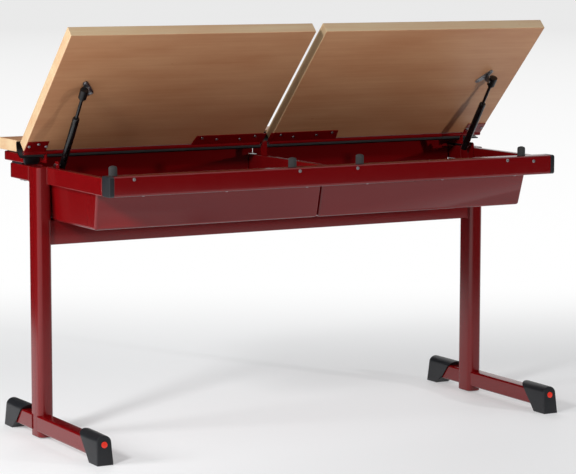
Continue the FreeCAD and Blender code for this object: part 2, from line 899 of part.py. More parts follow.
def foot_cap(label, side, outer_y, inward, top_length, bottom_length):
    """Plastic shoe over the end of a foot tube, its joint slanting away from the column towards the floor."""
    low_x, high_x = mirrored(side, FOOT_CENTRE - half(S.foot_cap_width),
                             FOOT_CENTRE + half(S.foot_cap_width))
    body = new_body(label, x=low_x, y=outer_y)
    shoulder = S.foot_cap_shoulder
    side_view = ((ZERO, ZERO), (ZERO, S.foot_cap_height - shoulder), (shoulder, S.foot_cap_height),
                 (top_length, S.foot_cap_height - half(S.foot_cap_edge_radius)),
                 (bottom_length, S.foot_bottom), (bottom_length - shoulder, ZERO))
    if inward < 0:
        side_view = tuple((-across, up) for across, up in side_view)
    pad(body, outline(body, "side", "YZ_Plane", side_view), S.foot_cap_width)

    def is_upper_or_end(edge):
        middle = edge.CenterOfMass
        if is_along(edge, X_AXIS):
            return False
        near_top = middle.z > S.foot_bottom.number + S.foot_height.number
        at_end = middle.y * inward < shoulder.number
        return near_top or (at_end and middle.z > shoulder.number / 2)

    round_edges(body, S.foot_cap_edge_radius, is_upper_or_end)
    wall = half(S.foot_cap_width - S.foot_width)
    top = S.foot_bottom + S.foot_height
    start = S.foot_cap_end_wall if inward > 0 else -top_length
    seat = outline(body, "seat", "XZ_Plane",
                   rectangle(wall - S.spigot_fit, S.foot_bottom - S.spigot_fit,
                             S.foot_cap_width - wall + S.spigot_fit, top + S.spigot_fit), lift=-start)
    pocket(body, seat, top_length - S.foot_cap_end_wall)
    return body


def plug_hole(body, inward):
    """Round blind hole in the end face of a foot cap, which the red plug fills."""
    depth = S.foot_plug_depth + S.foot_plug_recess
    centre = (half(S.foot_cap_width), S.foot_plug_height)
    sketch = circles(body, "plug_hole", "XZ_Plane", [centre], S.foot_plug_radius + S.spigot_fit)
    pocket(body, sketch, depth, backwards=inward < 0)


def make_foot_caps():
    plugs = []
    front_caps = []
    rear_caps = []
    for name, side in SIDES:
        front = foot_cap(f"foot_front_cap_{name}", side, FOOT_FRONT, 1, S.front_cap_top_length,
                         S.front_cap_bottom_length)
        plug_hole(front, 1)
        rear = foot_cap(f"foot_rear_cap_{name}", side, FOOT_BACK, -1, S.rear_cap_top_length,
                        S.rear_cap_bottom_length)
        plug_hole(rear, -1)
        front_caps.append(front)
        rear_caps.append(rear)
        x = signed(side, FOOT_CENTRE)
        for end, y, direction in (("front", FOOT_FRONT + S.foot_plug_recess, Y_AXIS),
                                  ("rear", FOOT_BACK - S.foot_plug_recess, -Y_AXIS)):
            plug = primitive("Part::Cylinder", f"foot_plug_{end}_{name}", Radius=S.foot_plug_radius,
                             Height=S.foot_plug_depth)
            place(plug, x=x, y=y, z=S.foot_plug_height, turn=turned_to(direction))
            plugs.append(plug)
    group("foot_front_caps", front_caps)
    group("foot_rear_caps", rear_caps)
    group("foot_plugs", plugs)


# Trays

def tray_screw_places():
    """Distance from the middle of the desk and Y of each screw that holds a tray."""
    places = []
    for share in TRAY_SCREW_SHARES:
        x = TRAY_SIDE * share
        places.append((x, behind(FLANGE_FRONT + half(S.beam_depth - FLANGE_FRONT))))
        places.append((x, behind(REAR_BEAM_START + half(FLANGE_BACK - REAR_BEAM_START))))
    return places


def tray_block(name, side, inset):
    """Solid in the outer form of a tray, or of its inside when inset is the sheet's thickness."""
    body = new_body(name)
    depth = RAIL_BOTTOM - TRAY_BOTTOM
    low_x, high_x = mirrored(side, half(S.tray_seam) + inset, TRAY_SIDE - inset)
    front = behind(TRAY_FRONT) + inset
    back = behind(TRAY_BACK) - inset
    side_view = ((front + S.tray_front_slope, inset), (back - S.tray_back_slope, inset), (back, depth),
                 (front, depth))
    pad(body, outline(body, "side", "YZ_Plane", side_view, lift=low_x), high_x - low_x)
    end = signed(side, TRAY_SIDE - inset)
    draft = signed(side, S.tray_side_draft)
    wedge = outline(body, "draft", "XZ_Plane", ((end - draft, inset), (end, inset), (end, depth)),
                    lift=-behind(TRAY_FRONT))
    pocket(body, wedge, TRAY_BACK - TRAY_FRONT)

    def is_lower_or_upright(edge):
        return edge.CenterOfMass.z < depth.number * 3 / 4

    round_edges(body, S.tray_corner_radius - inset, is_lower_or_upright)
    return body


def make_trays():
    screws = []
    depth = RAIL_BOTTOM - TRAY_BOTTOM
    flange_bottom = RAIL_BOTTOM - S.tray_sheet
    wall = S.tray_sheet
    near = half(S.tray_seam)
    for name, side in SIDES:
        shell = cut(f"tray_{name}_shell", tray_block(f"tray_{name}_outside", side, ZERO),
                    tray_block(f"tray_{name}_inside", side, wall))
        rim = new_body(f"tray_{name}_rim")
        inner_low, inner_high = mirrored(side, near + wall, TRAY_SIDE - wall)
        outer_low, outer_high = mirrored(side, near, COLUMN_INNER - S.tray_side_gap)
        flange = outline(rim, "flange", "XY_Plane",
                         rectangle(outer_low, behind(FLANGE_FRONT), outer_high,
                                   behind(FLANGE_BACK)),
                         rectangle(inner_low, behind(TRAY_FRONT + wall), inner_high,
                                   behind(TRAY_BACK - wall)), lift=depth)
        pad(rim, flange, wall, backwards=True)
        plate_low, plate_high = mirrored(side, half(S.rail_width) + S.tray_plate_gap, RAIL_INNER)
        plate = outline(rim, "back_plate", "XY_Plane",
                        rectangle(plate_low, behind(TRAY_BACK - wall), plate_high,
                                  behind(TRAY_BACK)), lift=depth - wall)
        pad(rim, plate, RAIL_TOP + S.tray_back_rise - flange_bottom)
        tongue_low, tongue_high = mirrored(side, near, half(S.rail_width) + S.tray_plate_gap)
        tongue = outline(rim, "tongue", "XY_Plane",
                         rectangle(tongue_low, behind(TRAY_BACK - wall), tongue_high, behind(TRAY_BACK)),
                         lift=depth - wall + RAIL_TOP - flange_bottom + S.tray_plate_gap)
        pad(rim, tongue, S.tray_back_rise - S.tray_plate_gap)
        centres = [(signed(side, x), y) for x, y in tray_screw_places()]
        holes = circles(rim, "screw_holes", "XY_Plane", centres, SCREW_HOLE, lift=depth)
        pocket(rim, holes, wall * 2)
        tray = fuse(f"tray_{name}", [shell, rim])
        place(tray, z=TRAY_BOTTOM)
        register(tray, f"tray_{name}")
        for number, (x, y) in enumerate(centres, start=1):
            screws.append(pan_screw(f"tray_screw_{name}_{number}", S.tray_screw_length, x, y, flange_bottom,
                                    -Z_AXIS))
    group("tray_screws", screws)


def drill_tray_screw_holes():
    """Holes in the undersides of the front and rear beams for the tray screws."""
    for beam, low_x, low_y in (("front_beam", -BEAM_END, behind(ZERO)),
                               ("rear_beam", -COLUMN_INNER, behind(REAR_BEAM_START))):
        body = nodes[beam]
        middle = BEAM_BACK if beam == "front_beam" else behind(REAR_BEAM_START + S.rear_beam_depth)
        centres = []
        for side_name, side in SIDES:
            for x, y in tray_screw_places():
                if low_y.number < y.number < middle.number:
                    centres.append((signed(side, x) - low_x, y - low_y))
        sketch = circles(body, "tray_screw_holes", "XY_Plane", centres, SCREW_HOLE)
        pocket(body, sketch, S.tube_wall * 2, backwards=True)


# Rear panel and pencil trough

def make_rear_panel():
    start = behind(PANEL_START)
    body = bar("rear_panel", (-HALF_LENGTH, start, UNDERSIDE),
               (HALF_LENGTH, start + S.panel_depth, S.desk_height), "z", None)
    round_edges(body, S.board_edge_radius, lambda edge: True)
    centres = []
    for side_name, side in SIDES:
        middle = signed(side, UPPER_RAIL_INNER + half(S.upper_rail_width))
        for share in PANEL_SCREW_SHARES:
            centres.append((middle + HALF_LENGTH, upper_rail_y(share) - start))
    sketch = circles(body, "screw_holes", "XY_Plane", centres, SCREW_HOLE)
    pocket(body, sketch, S.hinge_screw_length - S.strip_height, backwards=True)
    register(body, "rear_panel")


def make_pencil_trough():
    """Quarter-round strip that hangs from the front edge of the rear panel, under the gap."""
    centre_y = PANEL_START - S.trough_radius
    body = new_body("pencil_trough", x=-HALF_LENGTH, y=behind(centre_y), z=S.desk_height - S.trough_drop)
    sketch = new_sketch(body, "section", "YZ_Plane", ZERO)
    outer = S.trough_radius
    inner = S.trough_radius - S.trough_wall
    lip = S.trough_lip
    centre = FreeCAD.Vector(0, 0, 0)
    quarter = (-math.pi / 2, 0)
    for radius in (outer, inner):
        arc = Part.ArcOfCircle(Part.Circle(centre, Z_AXIS, radius.number), *quarter)
        sketch.addGeometry(arc, False)
    corners = ((outer, ZERO), (outer, lip), (inner, lip), (inner, ZERO))
    points = [FreeCAD.Vector(across.number, up.number, 0) for across, up in corners]
    for first, second in zip(points, points[1:]):
        sketch.addGeometry(Part.LineSegment(first, second), False)
    low_end = (FreeCAD.Vector(0, -inner.number, 0), FreeCAD.Vector(0, -outer.number, 0))
    sketch.addGeometry(Part.LineSegment(*low_end), False)
    for number, radius in enumerate((outer, inner)):
        sketch.addConstraint(Sketcher.Constraint("Coincident", number, 3, -1, 1))
        index = sketch.addConstraint(Sketcher.Constraint("Radius", number, radius.number))
        sketch.renameConstraint(index, f"Radius_{number}")
        sketch.setExpression(f"Constraints.Radius_{number}", radius.formula)
        sketch.addConstraint(Sketcher.Constraint("PointOnObject", number, 1, -2))
        sketch.addConstraint(Sketcher.Constraint("PointOnObject", number, 2, -1))
    for first, first_end, second, second_end in ((0, 2, 2, 1), (2, 2, 3, 1), (3, 2, 4, 1), (4, 2, 1, 2),
                                                 (1, 1, 5, 1), (5, 2, 0, 1)):
        sketch.addConstraint(Sketcher.Constraint("Coincident", first, first_end, second, second_end))
    sketch.addConstraint(Sketcher.Constraint("Vertical", 2))
    sketch.addConstraint(Sketcher.Constraint("Horizontal", 3))
    sketch.addConstraint(Sketcher.Constraint("Vertical", 4))
    index = sketch.addConstraint(Sketcher.Constraint("DistanceY", -1, 1, 2, 2, lip.number))
    sketch.renameConstraint(index, "Lip")
    sketch.setExpression("Constraints.Lip", lip.formula)
    pad(body, sketch, S.desk_length)
    register(body, "pencil_trough")


# Hinge line

def make_hinge_shaft():
    end = HALF_LENGTH - S.hinge_shaft_setback
    shaft = primitive("Part::Cylinder", "hinge_shaft", Radius=S.hinge_shaft_radius, Height=end * 2)
    place(shaft, x=-end, y=HINGE_Y, z=HINGE_Z, turn=turned_to(X_AXIS))
    register(shaft, "hinge_shaft")


def end_lug_span():
    """Distances from the middle of the desk between which an end lug lies."""
    return UPPER_RAIL_INNER - S.end_lug_thickness, UPPER_RAIL_INNER


def lug_bore(body, length):
    sketch = circles(body, "bore", "YZ_Plane", [(ZERO, ZERO)], BARREL_BORE)
    pocket(body, sketch, length, backwards=True)


def lug_head():
    """Upper half of an eight-sided lug around the hinge line, from its front edge to its rear edge."""
    reach = S.lug_half_depth
    corner = reach * OCTAGON_CORNER_SHARE
    return ((-reach, corner), (-corner, reach), (corner, reach), (reach, corner))


def make_hinge_lugs():
    lugs = []
    reach = S.lug_half_depth
    foot = UPPER_RAIL_BOTTOM + S.end_lug_lift - HINGE_Z
    step = foot + S.end_lug_height
    back = UPPER_RAIL_START + S.end_lug_lap - HINGE_START
    for name, side in SIDES:
        low_x, high_x = mirrored(side, *end_lug_span())
        body = new_body(f"hinge_end_lug_{name}", x=low_x, y=HINGE_Y, z=HINGE_Z)
        side_view = ((-reach, foot),) + lug_head() + ((reach, step), (back, step), (back, foot))
        pad(body, outline(body, "side", "YZ_Plane", side_view), S.end_lug_thickness)
        lug_bore(body, S.end_lug_thickness)
        lugs.append(body)
    body = new_body("hinge_centre_lug", x=-half(S.centre_lug_width), y=HINGE_Y, z=HINGE_Z)
    side_view = ((-reach, RAIL_TOP - HINGE_Z),) + lug_head() + ((reach, RAIL_TOP - HINGE_Z),)
    pad(body, outline(body, "side", "YZ_Plane", side_view), S.centre_lug_width)
    lug_bore(body, S.centre_lug_width)
    lugs.append(body)
    group("hinge_lugs", lugs)


def barrel_leaf(label, side, plate, barrel_near, barrel_far, holes):
    """Hinge leaf: a plate under the lid, joined to a barrel that turns on the shaft.

    plate holds its corners as distances from the middle of the desk and from the hinge line.
    """
    body = new_body(label, y=HINGE_Y, z=HINGE_Z, angle=LID_TURN)
    corners = tuple((signed(side, x), -reach) for x, reach in plate)
    top = S.hinge_drop
    pad(body, outline(body, "plate", "XY_Plane", corners, lift=top), S.leaf_thickness, backwards=True)
    low_x, high_x = mirrored(side, barrel_near, barrel_far)
    barrel = circles(body, "barrel", "YZ_Plane", [(ZERO, ZERO)], S.hinge_barrel_radius, lift=low_x)
    pad(body, barrel, high_x - low_x)
    bore = circles(body, "bore", "YZ_Plane", [(ZERO, ZERO)], BARREL_BORE, lift=low_x)
    pocket(body, bore, high_x - low_x, backwards=True)
    centres = [(signed(side, x), -reach) for x, reach in holes]
    pocket(body, circles(body, "screw_holes", "XY_Plane", centres, SCREW_HOLE, lift=top),
           S.leaf_thickness * 2)
    return register(body, label)


def inner_leaf_near():
    return half(S.lid_gap) + S.inner_leaf_start


def outer_leaf_near():
    return UPPER_RAIL_INNER + S.hinge_end_gap * 2


def barrel_end():
    return HALF_LENGTH - S.barrel_end_setback


def inner_screw_places():
    return [(inner_leaf_near() + S.inner_leaf_length * along, S.inner_leaf_reach * reach)
            for along, reach in INNER_LEAF_SCREW_SHARES]


def outer_screw_places():
    length = barrel_end() - outer_leaf_near()
    return [(outer_leaf_near() + length * along, S.outer_leaf_reach * reach)
            for along, reach in OUTER_LEAF_SCREW_SHARES]


def make_hinge_leaves():
    near = inner_leaf_near()
    far = near + S.inner_leaf_length
    root_reach = BARREL_BORE + half(S.hinge_barrel_radius - BARREL_BORE)
    inner = ((near, root_reach), (far, root_reach), (far - S.inner_leaf_taper, S.inner_leaf_reach),
             (near, S.inner_leaf_reach))
    outer = ((outer_leaf_near(), root_reach), (barrel_end(), root_reach),
             (barrel_end(), S.outer_leaf_reach), (outer_leaf_near(), S.outer_leaf_reach))
    lug_near, lug_far = end_lug_span()
    for name, side in SIDES:
        barrel_leaf(f"hinge_inner_leaf_{name}", side, inner, half(S.lid_gap), lug_near - S.hinge_end_gap,
                    inner_screw_places())
        barrel_leaf(f"hinge_outer_leaf_{name}", side, outer, lug_far + S.hinge_end_gap, barrel_end(),
                    outer_screw_places())
        screws = []
        seat = S.hinge_drop - S.leaf_thickness
        for number, (x, reach) in enumerate(inner_screw_places() + outer_screw_places(), start=1):
            screws.append(pan_screw(f"hinge_screw_{name}_{number}", S.hinge_screw_length, signed(side, x),
                                    -reach, seat, -Z_AXIS))
        group(f"hinge_screws_{name}", screws, y=HINGE_Y, z=HINGE_Z, angle=LID_TURN)


# Lids

def make_lids():
    near = half(S.lid_gap)
    rear = S.hinge_setback
    front = rear + S.lid_depth
    for name, side in SIDES:
        body = new_body(f"lid_{name}", y=HINGE_Y, z=HINGE_Z, angle=LID_TURN)
        low_x, high_x = mirrored(side, near, HALF_LENGTH)
        board = outline(body, "board", "XY_Plane", rectangle(low_x, -front, high_x, -rear),
                        lift=S.hinge_drop)
        pad(body, board, S.board_thickness)
        round_edges(body, S.board_edge_radius, lambda edge: True)
        centres = [(signed(side, x), -reach)
                   for x, reach in inner_screw_places() + outer_screw_places() + bracket_screw_places()]
        holes = circles(body, "screw_holes", "XY_Plane", centres, SCREW_HOLE, lift=S.hinge_drop)
        pocket(body, holes, S.hinge_screw_length, backwards=True)
        register(body, f"lid_{name}")


# Gas springs, drawn along their own axis from the lower ball

STRUT_FOOT_Y = behind(STRUT_FOOT_START)
OPEN_COSINE = cosine(S.lid_open_angle)
OPEN_SINE = sine(S.lid_open_angle)
LID_BALL_Y = HINGE_Y - S.strut_lid_reach * OPEN_COSINE - S.strut_lid_drop * OPEN_SINE
LID_BALL_Z = HINGE_Z + S.strut_lid_reach * OPEN_SINE - S.strut_lid_drop * OPEN_COSINE
STRUT_RUN = STRUT_FOOT_Y - LID_BALL_Y
STRUT_RISE = LID_BALL_Z - STRUT_FOOT_Z
STRUT_LENGTH = root(STRUT_RUN * STRUT_RUN + STRUT_RISE * STRUT_RISE)
STRUT_LEAN = angle_of(STRUT_RUN, STRUT_RISE)


def ball_socket(name, side, outer, back, front, cavity, mouth):
    """Round socket along the strut, hollow for the ball, with a side mouth for the ball's neck."""
    block = primitive("Part::Cylinder", f"{name}_block", Radius=outer, Height=back + front)
    place(block, z=-back)
    ball_space = primitive("Part::Sphere", f"{name}_cavity", Radius=cavity)
    way_in = primitive("Part::Cylinder", f"{name}_mouth", Radius=mouth, Height=outer * 2)
    place(way_in, turn=turned_to(X_AXIS * side))
    return cut(name, block, fuse(f"{name}_space", [ball_space, way_in]))


def make_lower_sockets():
    for name, side in SIDES:
        item = ball_socket(f"strut_lower_socket_{name}", side, S.socket_radius, S.socket_back, S.socket_front,
                           S.ball_radius + S.ball_running_gap, S.socket_mouth_radius)
        place(item, x=signed(side, STRUT_OFFSET), y=STRUT_FOOT_Y, z=STRUT_FOOT_Z, angle=STRUT_LEAN)
        register(item, f"strut_lower_socket_{name}")


def make_upper_sockets():
    for name, side in SIDES:
        item = ball_socket(f"strut_upper_socket_{name}", -side, S.upper_socket_radius, S.upper_socket_front,
                           S.upper_socket_back, S.upper_cavity_radius, S.upper_mouth_radius)
        place(item, x=signed(side, STRUT_OFFSET), y=LID_BALL_Y, z=LID_BALL_Z, angle=STRUT_LEAN)
        register(item, f"strut_upper_socket_{name}")


def make_cylinders():
    """Pressure tube of each gas spring: closed at the lower socket, bored for the rod at the other end."""
    start = S.socket_front
    end = start + S.cylinder_length
    inside = S.cylinder_radius - S.cylinder_wall
    bore = S.rod_radius + S.rod_running_gap
    section = ((ZERO, start), (S.cylinder_radius, start), (S.cylinder_radius, end), (bore, end),
               (bore, end - S.cylinder_end_wall), (inside, end - S.cylinder_end_wall),
               (inside, start + S.cylinder_end_wall), (ZERO, start + S.cylinder_end_wall))
    for name, side in SIDES:
        body = new_body(f"strut_cylinder_{name}", x=signed(side, STRUT_OFFSET), y=STRUT_FOOT_Y,
                        z=STRUT_FOOT_Z, angle=STRUT_LEAN)
        revolve(body, outline(body, "section", "XZ_Plane", section))
        register(body, f"strut_cylinder_{name}")


def make_rods():
    """Piston and rod of each gas spring, the rod ending at the upper socket."""
    piston_end = S.socket_front + S.cylinder_length - S.cylinder_end_wall - S.piston_inset
    piston_start = piston_end - S.piston_length
    end = STRUT_LENGTH - S.upper_socket_front
    section = ((ZERO, piston_start), (S.piston_radius, piston_start), (S.piston_radius, piston_end),
               (S.rod_radius, piston_end), (S.rod_radius, end), (ZERO, end))
    for name, side in SIDES:
        body = new_body(f"strut_rod_{name}", x=signed(side, STRUT_OFFSET), y=STRUT_FOOT_Y,
                        z=STRUT_FOOT_Z, angle=STRUT_LEAN)
        revolve(body, outline(body, "section", "XZ_Plane", section))
        register(body, f"strut_rod_{name}")


def make_foot_lugs():
    """Lug on the inner face of each end rail, and the ball stud that it holds."""
    lugs = []
    studs = []
    rail_face = RAIL_INNER
    for name, side in SIDES:
        low_x, high_x = mirrored(side, rail_face - S.foot_lug_thickness, rail_face)
        top = STRUT_FOOT_Z + S.foot_lug_rise
        low_y = COLUMN_FRONT - S.foot_lug_depth
        lug = new_body(f"strut_foot_lug_{name}", x=low_x, y=low_y, z=FOOT_LUG_BOTTOM)
        height = top - FOOT_LUG_BOTTOM
        corner = half(S.foot_lug_rise)
        side_view = ((ZERO, ZERO), (S.foot_lug_depth, ZERO), (S.foot_lug_depth, height - corner),
                     (S.foot_lug_depth - corner, height), (corner, height), (ZERO, height - corner))
        pad(lug, outline(lug, "side", "YZ_Plane", side_view), S.foot_lug_thickness)
        centre = (STRUT_FOOT_Y - low_y, STRUT_FOOT_Z - FOOT_LUG_BOTTOM)
        hole = circles(lug, "stud_hole", "YZ_Plane", [centre], S.neck_radius + S.screw_hole_gap)
        pocket(lug, hole, S.foot_lug_thickness, backwards=True)
        lugs.append(lug)

        reach = rail_face - STRUT_OFFSET
        ball = primitive("Part::Sphere", f"strut_foot_ball_{name}", Radius=S.ball_radius)
        neck = primitive("Part::Cylinder", f"strut_foot_neck_{name}", Radius=S.neck_radius, Height=reach)
        head = primitive("Part::Cylinder", f"strut_foot_head_{name}", Radius=S.stud_head_radius,
                         Height=S.stud_head_height)
        place(head, z=reach)
        stud = fuse(f"strut_foot_stud_{name}", [ball, neck, head])
        place(stud, x=signed(side, STRUT_OFFSET), y=STRUT_FOOT_Y, z=STRUT_FOOT_Z,
              turn=turned_to(X_AXIS * side))
        studs.append(stud)
    group("strut_foot_lugs", lugs)
    group("strut_foot_studs", studs)


def bracket_ear_x():
    """Distance from the middle of the desk of the ear's face towards the strut."""
    return STRUT_OFFSET - S.lid_bracket_gap


def bracket_screw_places():
    """Places on the lid as distances from the middle of the desk and from the hinge line."""
    length = BRACKET_FAR - BRACKET_NEAR
    outer = STRUT_OFFSET
    return [(outer - S.lid_bracket_width * across, BRACKET_NEAR + length * along)
            for across, along in BRACKET_SCREW_SHARES]


def make_lid_brackets():
    """Plate under each lid with an ear, and the ball stud on the ear."""
    top = S.hinge_drop
    near = BRACKET_NEAR
    far = BRACKET_FAR
    half_ear = half(S.lid_bracket_ear_depth)
    ear_face = bracket_ear_x()
    inner = STRUT_OFFSET - S.lid_bracket_width
    step = half(S.lid_bracket_width)
    base = ((inner, near), (inner + step, near), (STRUT_OFFSET, far - step), (STRUT_OFFSET, far),
            (inner + step, far), (inner, near + step))
    for name, side in SIDES:
        body = new_body(f"lid_bracket_{name}", y=HINGE_Y, z=HINGE_Z, angle=LID_TURN)
        corners = tuple((signed(side, x), -reach) for x, reach in base)
        pad(body, outline(body, "plate", "XY_Plane", corners, lift=top), S.lid_bracket_thickness,
            backwards=True)
        low_x, high_x = mirrored(side, ear_face - S.lid_bracket_thickness, ear_face)
        lowest = -S.strut_lid_drop - S.lid_bracket_ear_drop
        centre = -S.strut_lid_reach
        corner = half(S.lid_bracket_ear_drop)
        ear = ((centre - half_ear, top), (centre - half_ear, lowest + corner),
               (centre - half_ear + corner, lowest), (centre + half_ear - corner, lowest),
               (centre + half_ear, lowest + corner), (centre + half_ear, top))
        pad(body, outline(body, "ear", "YZ_Plane", ear, lift=low_x), S.lid_bracket_thickness)
        centres = [(signed(side, x), -reach) for x, reach in bracket_screw_places()]
        pocket(body, circles(body, "screw_holes", "XY_Plane", centres, SCREW_HOLE, lift=top),
               S.lid_bracket_thickness * 2)
        ball_at = [(centre, -S.strut_lid_drop)]
        neck_from = ear_face - S.lid_bracket_thickness
        start = neck_from if side > 0 else -STRUT_OFFSET
        pad(body, circles(body, "neck", "YZ_Plane", ball_at, S.neck_radius, lift=start),
            STRUT_OFFSET - neck_from)
        ball = body.newObject("PartDesign::AdditiveSphere", f"lid_bracket_{name}_ball")
        ball.setExpression("Radius", S.upper_ball_radius.formula)
        ball.AttachmentSupport = [(origin_plane(body, "XY_Plane"), "")]
        ball.MapMode = "FlatFace"
        for key, size in (("x", signed(side, STRUT_OFFSET)), ("y", centre), ("z", -S.strut_lid_drop)):
            ball.setExpression(f"AttachmentOffset.Base.{key}", size.formula)
        doc.recompute()
        register(body, f"lid_bracket_{name}")
        screws = []
        for number, (x, y) in enumerate(centres, start=1):
            screws.append(pan_screw(f"bracket_screw_{name}_{number}", S.hinge_screw_length, x, y,
                                    top - S.lid_bracket_thickness, -Z_AXIS))
        group(f"bracket_screws_{name}", screws, y=HINGE_Y, z=HINGE_Z, angle=LID_TURN)


def make_desk():
    write_sheet()
    make_front_beam()
    make_buffers()
    make_rails()
    make_columns()
    make_rear_arms()
    make_stretcher()
    make_upper_rails()
    make_foot_tubes()
    make_foot_caps()
    make_trays()
    drill_tray_screw_holes()
    make_rear_panel()
    make_pencil_trough()
    make_hinge_shaft()
    make_hinge_lugs()
    make_hinge_leaves()
    make_lids()
    make_lower_sockets()
    make_cylinders()
    make_rods()
    make_upper_sockets()
    make_foot_lugs()
    make_lid_brackets()


def check_document():
    doc.recompute()
    for item in doc.Objects:
        if "Invalid" in item.State or "Error" in item.State:
            raise RuntimeError(f"{item.Name} has state {item.State}")
    for label, item in nodes.items():
        shape = item.Shape
        if shape.isNull() or not shape.isValid() or not shape.Solids:
            raise RuntimeError(f"{label} has no valid solid")


def write_parts():
    os.makedirs("parts", exist_ok=True)
    for label, item in nodes.items():
        item.Shape.exportStep(os.path.join("parts", f"{label}.step"))


make_desk()
check_document()
write_parts()
print(len(nodes), "nodes written")
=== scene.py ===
"""Looks of a double school desk with two flap lids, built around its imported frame. Lengths are in metres."""

import json
import math

import bmesh
import bpy
import numpy as np
from bpy.props import FloatProperty, FloatVectorProperty, PointerProperty
from mathutils import Matrix, Vector

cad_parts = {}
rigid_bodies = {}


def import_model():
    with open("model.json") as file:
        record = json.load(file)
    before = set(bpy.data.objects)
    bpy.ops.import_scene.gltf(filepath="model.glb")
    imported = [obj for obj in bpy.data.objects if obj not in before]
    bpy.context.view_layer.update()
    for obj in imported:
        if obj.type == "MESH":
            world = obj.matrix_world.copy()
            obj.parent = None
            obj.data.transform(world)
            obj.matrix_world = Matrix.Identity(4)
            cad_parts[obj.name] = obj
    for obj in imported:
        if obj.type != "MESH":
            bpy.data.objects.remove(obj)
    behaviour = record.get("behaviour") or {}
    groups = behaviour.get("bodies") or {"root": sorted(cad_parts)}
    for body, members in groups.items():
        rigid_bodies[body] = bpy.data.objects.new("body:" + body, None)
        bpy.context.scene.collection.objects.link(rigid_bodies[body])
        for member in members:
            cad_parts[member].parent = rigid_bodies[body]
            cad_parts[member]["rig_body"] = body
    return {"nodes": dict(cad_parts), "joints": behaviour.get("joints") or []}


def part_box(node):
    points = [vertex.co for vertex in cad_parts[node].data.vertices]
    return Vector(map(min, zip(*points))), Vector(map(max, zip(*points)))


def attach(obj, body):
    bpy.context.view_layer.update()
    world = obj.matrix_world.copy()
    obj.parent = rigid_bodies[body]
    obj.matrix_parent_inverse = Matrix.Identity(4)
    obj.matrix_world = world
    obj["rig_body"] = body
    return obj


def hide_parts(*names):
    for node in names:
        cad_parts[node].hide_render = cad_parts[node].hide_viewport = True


bl_info = {
    "name": "Double school desk",
    "version": (1, 0, 0),
    "blender": (4, 5, 0),
    "location": "3D View > Sidebar > School desk",
    "description": "Boards, coated tubes, mouldings and fittings of a double school desk",
    "category": "Object",
}

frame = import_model()

MM = 0.001
SIDES = {"left": -1, "right": 1}
AXES = {"x": 0, "y": 1, "z": 2}


def linear(code):
    """Linear colour of an sRGB hex value, with full alpha."""
    channels = np.array([int(code[start:start + 2], 16) for start in (1, 3, 5)]) / 255
    dark = channels / 12.92
    bright = ((channels + 0.055) / 1.055) ** 2.4
    return (*np.where(channels <= 0.04045, dark, bright).tolist(), 1.0)


# Sizes and colours that a user would change

def length(name, description, default, soft_max):
    """Property for a length in metres."""
    return FloatProperty(name=name, description=description, default=default, min=0.0, soft_max=soft_max,
                         subtype="DISTANCE", unit="LENGTH")


def colour(name, description, code):
    """Property for a colour, with its default as an sRGB hex value."""
    return FloatVectorProperty(name=name, description=description, default=linear(code), size=4, min=0.0,
                               max=1.0, subtype="COLOR")


class DeskSizes(bpy.types.PropertyGroup):
    board_round: length("Board edge round", "Radius of the sanded edges of the boards", 2 * MM, 6 * MM)
    tube_wall: length("Tube wall", "Wall of the welded steel tubes", 2 * MM, 4 * MM)
    eased_edge: length("Eased edge", "Round of a sawn and coated steel edge", 0.4 * MM, 2 * MM)
    cap_round: length("Cap round", "Round of the outer edge of a moulded cap", 1.6 * MM, 4 * MM)
    bead_radius: length("Weld bead", "Radius of the weld beads", 1.5 * MM, 4 * MM)
    bead_pitch: length("Weld ripple", "Distance from one ripple of a weld to the next", 2.5 * MM, 6 * MM)
    grain_band: length("Grain band", "Width of one band of the beech grain", 9 * MM, 40 * MM)
    orange_peel: length("Orange peel", "Size of one dimple of the powder coat", 3 * MM, 8 * MM)


class DeskColours(bpy.types.PropertyGroup):
    coat: colour("Powder coat", "Wine red of the steel frame", "#680508")
    veneer: colour("Beech veneer", "Broad faces of the boards", "#BC8E69")
    streak: colour("Beech streak", "Darker streaks in the veneer", "#A56E4A")
    lipping: colour("Beech lipping", "Glued strips along the edges of the boards", "#C8B592")
    moulding: colour("Black moulding", "Caps and shoes", "#1C1D20")
    # the trough's black is deepened past black vinyl: painted shade of the gap under the hinge
    vinyl_with_painted_shade: colour("Black vinyl", "Pencil trough", "#050506")
    nylon: colour("Black nylon", "Ball sockets of the gas springs", "#0B0B0C")
    plug: colour("Red plug", "Round plugs in the ends of the shoes", "#E23424")
    buffer: colour("Buffer rubber", "Buffers on the front beam", "#566365")
    zinc: colour("Zinc plating", "Screws, brackets and ball studs", "#A4A6A9")
    spring: colour("Spring lacquer", "Pressure tubes of the gas springs", "#0A0A0B")
    floor: colour("Floor", "Plain pale floor", "#F8F9FA")


# Materials

def node(tree, kind, inputs=None, **settings):
    """Add a shader node to a tree, with its settings, and give each named input a value or a link.

    kind is the name of its type without ShaderNode in front.
    """
    item = tree.nodes.new("ShaderNode" + kind)
    for name, value in settings.items():
        setattr(item, name, value)
    for key, value in (inputs or {}).items():
        if isinstance(value, bpy.types.NodeSocket):
            tree.links.new(value, item.inputs[key])
        else:
            item.inputs[key].default_value = value
    return item


def per_metre(size):
    """Scale of a texture on metres whose features are about this large."""
    return 1.0 / size


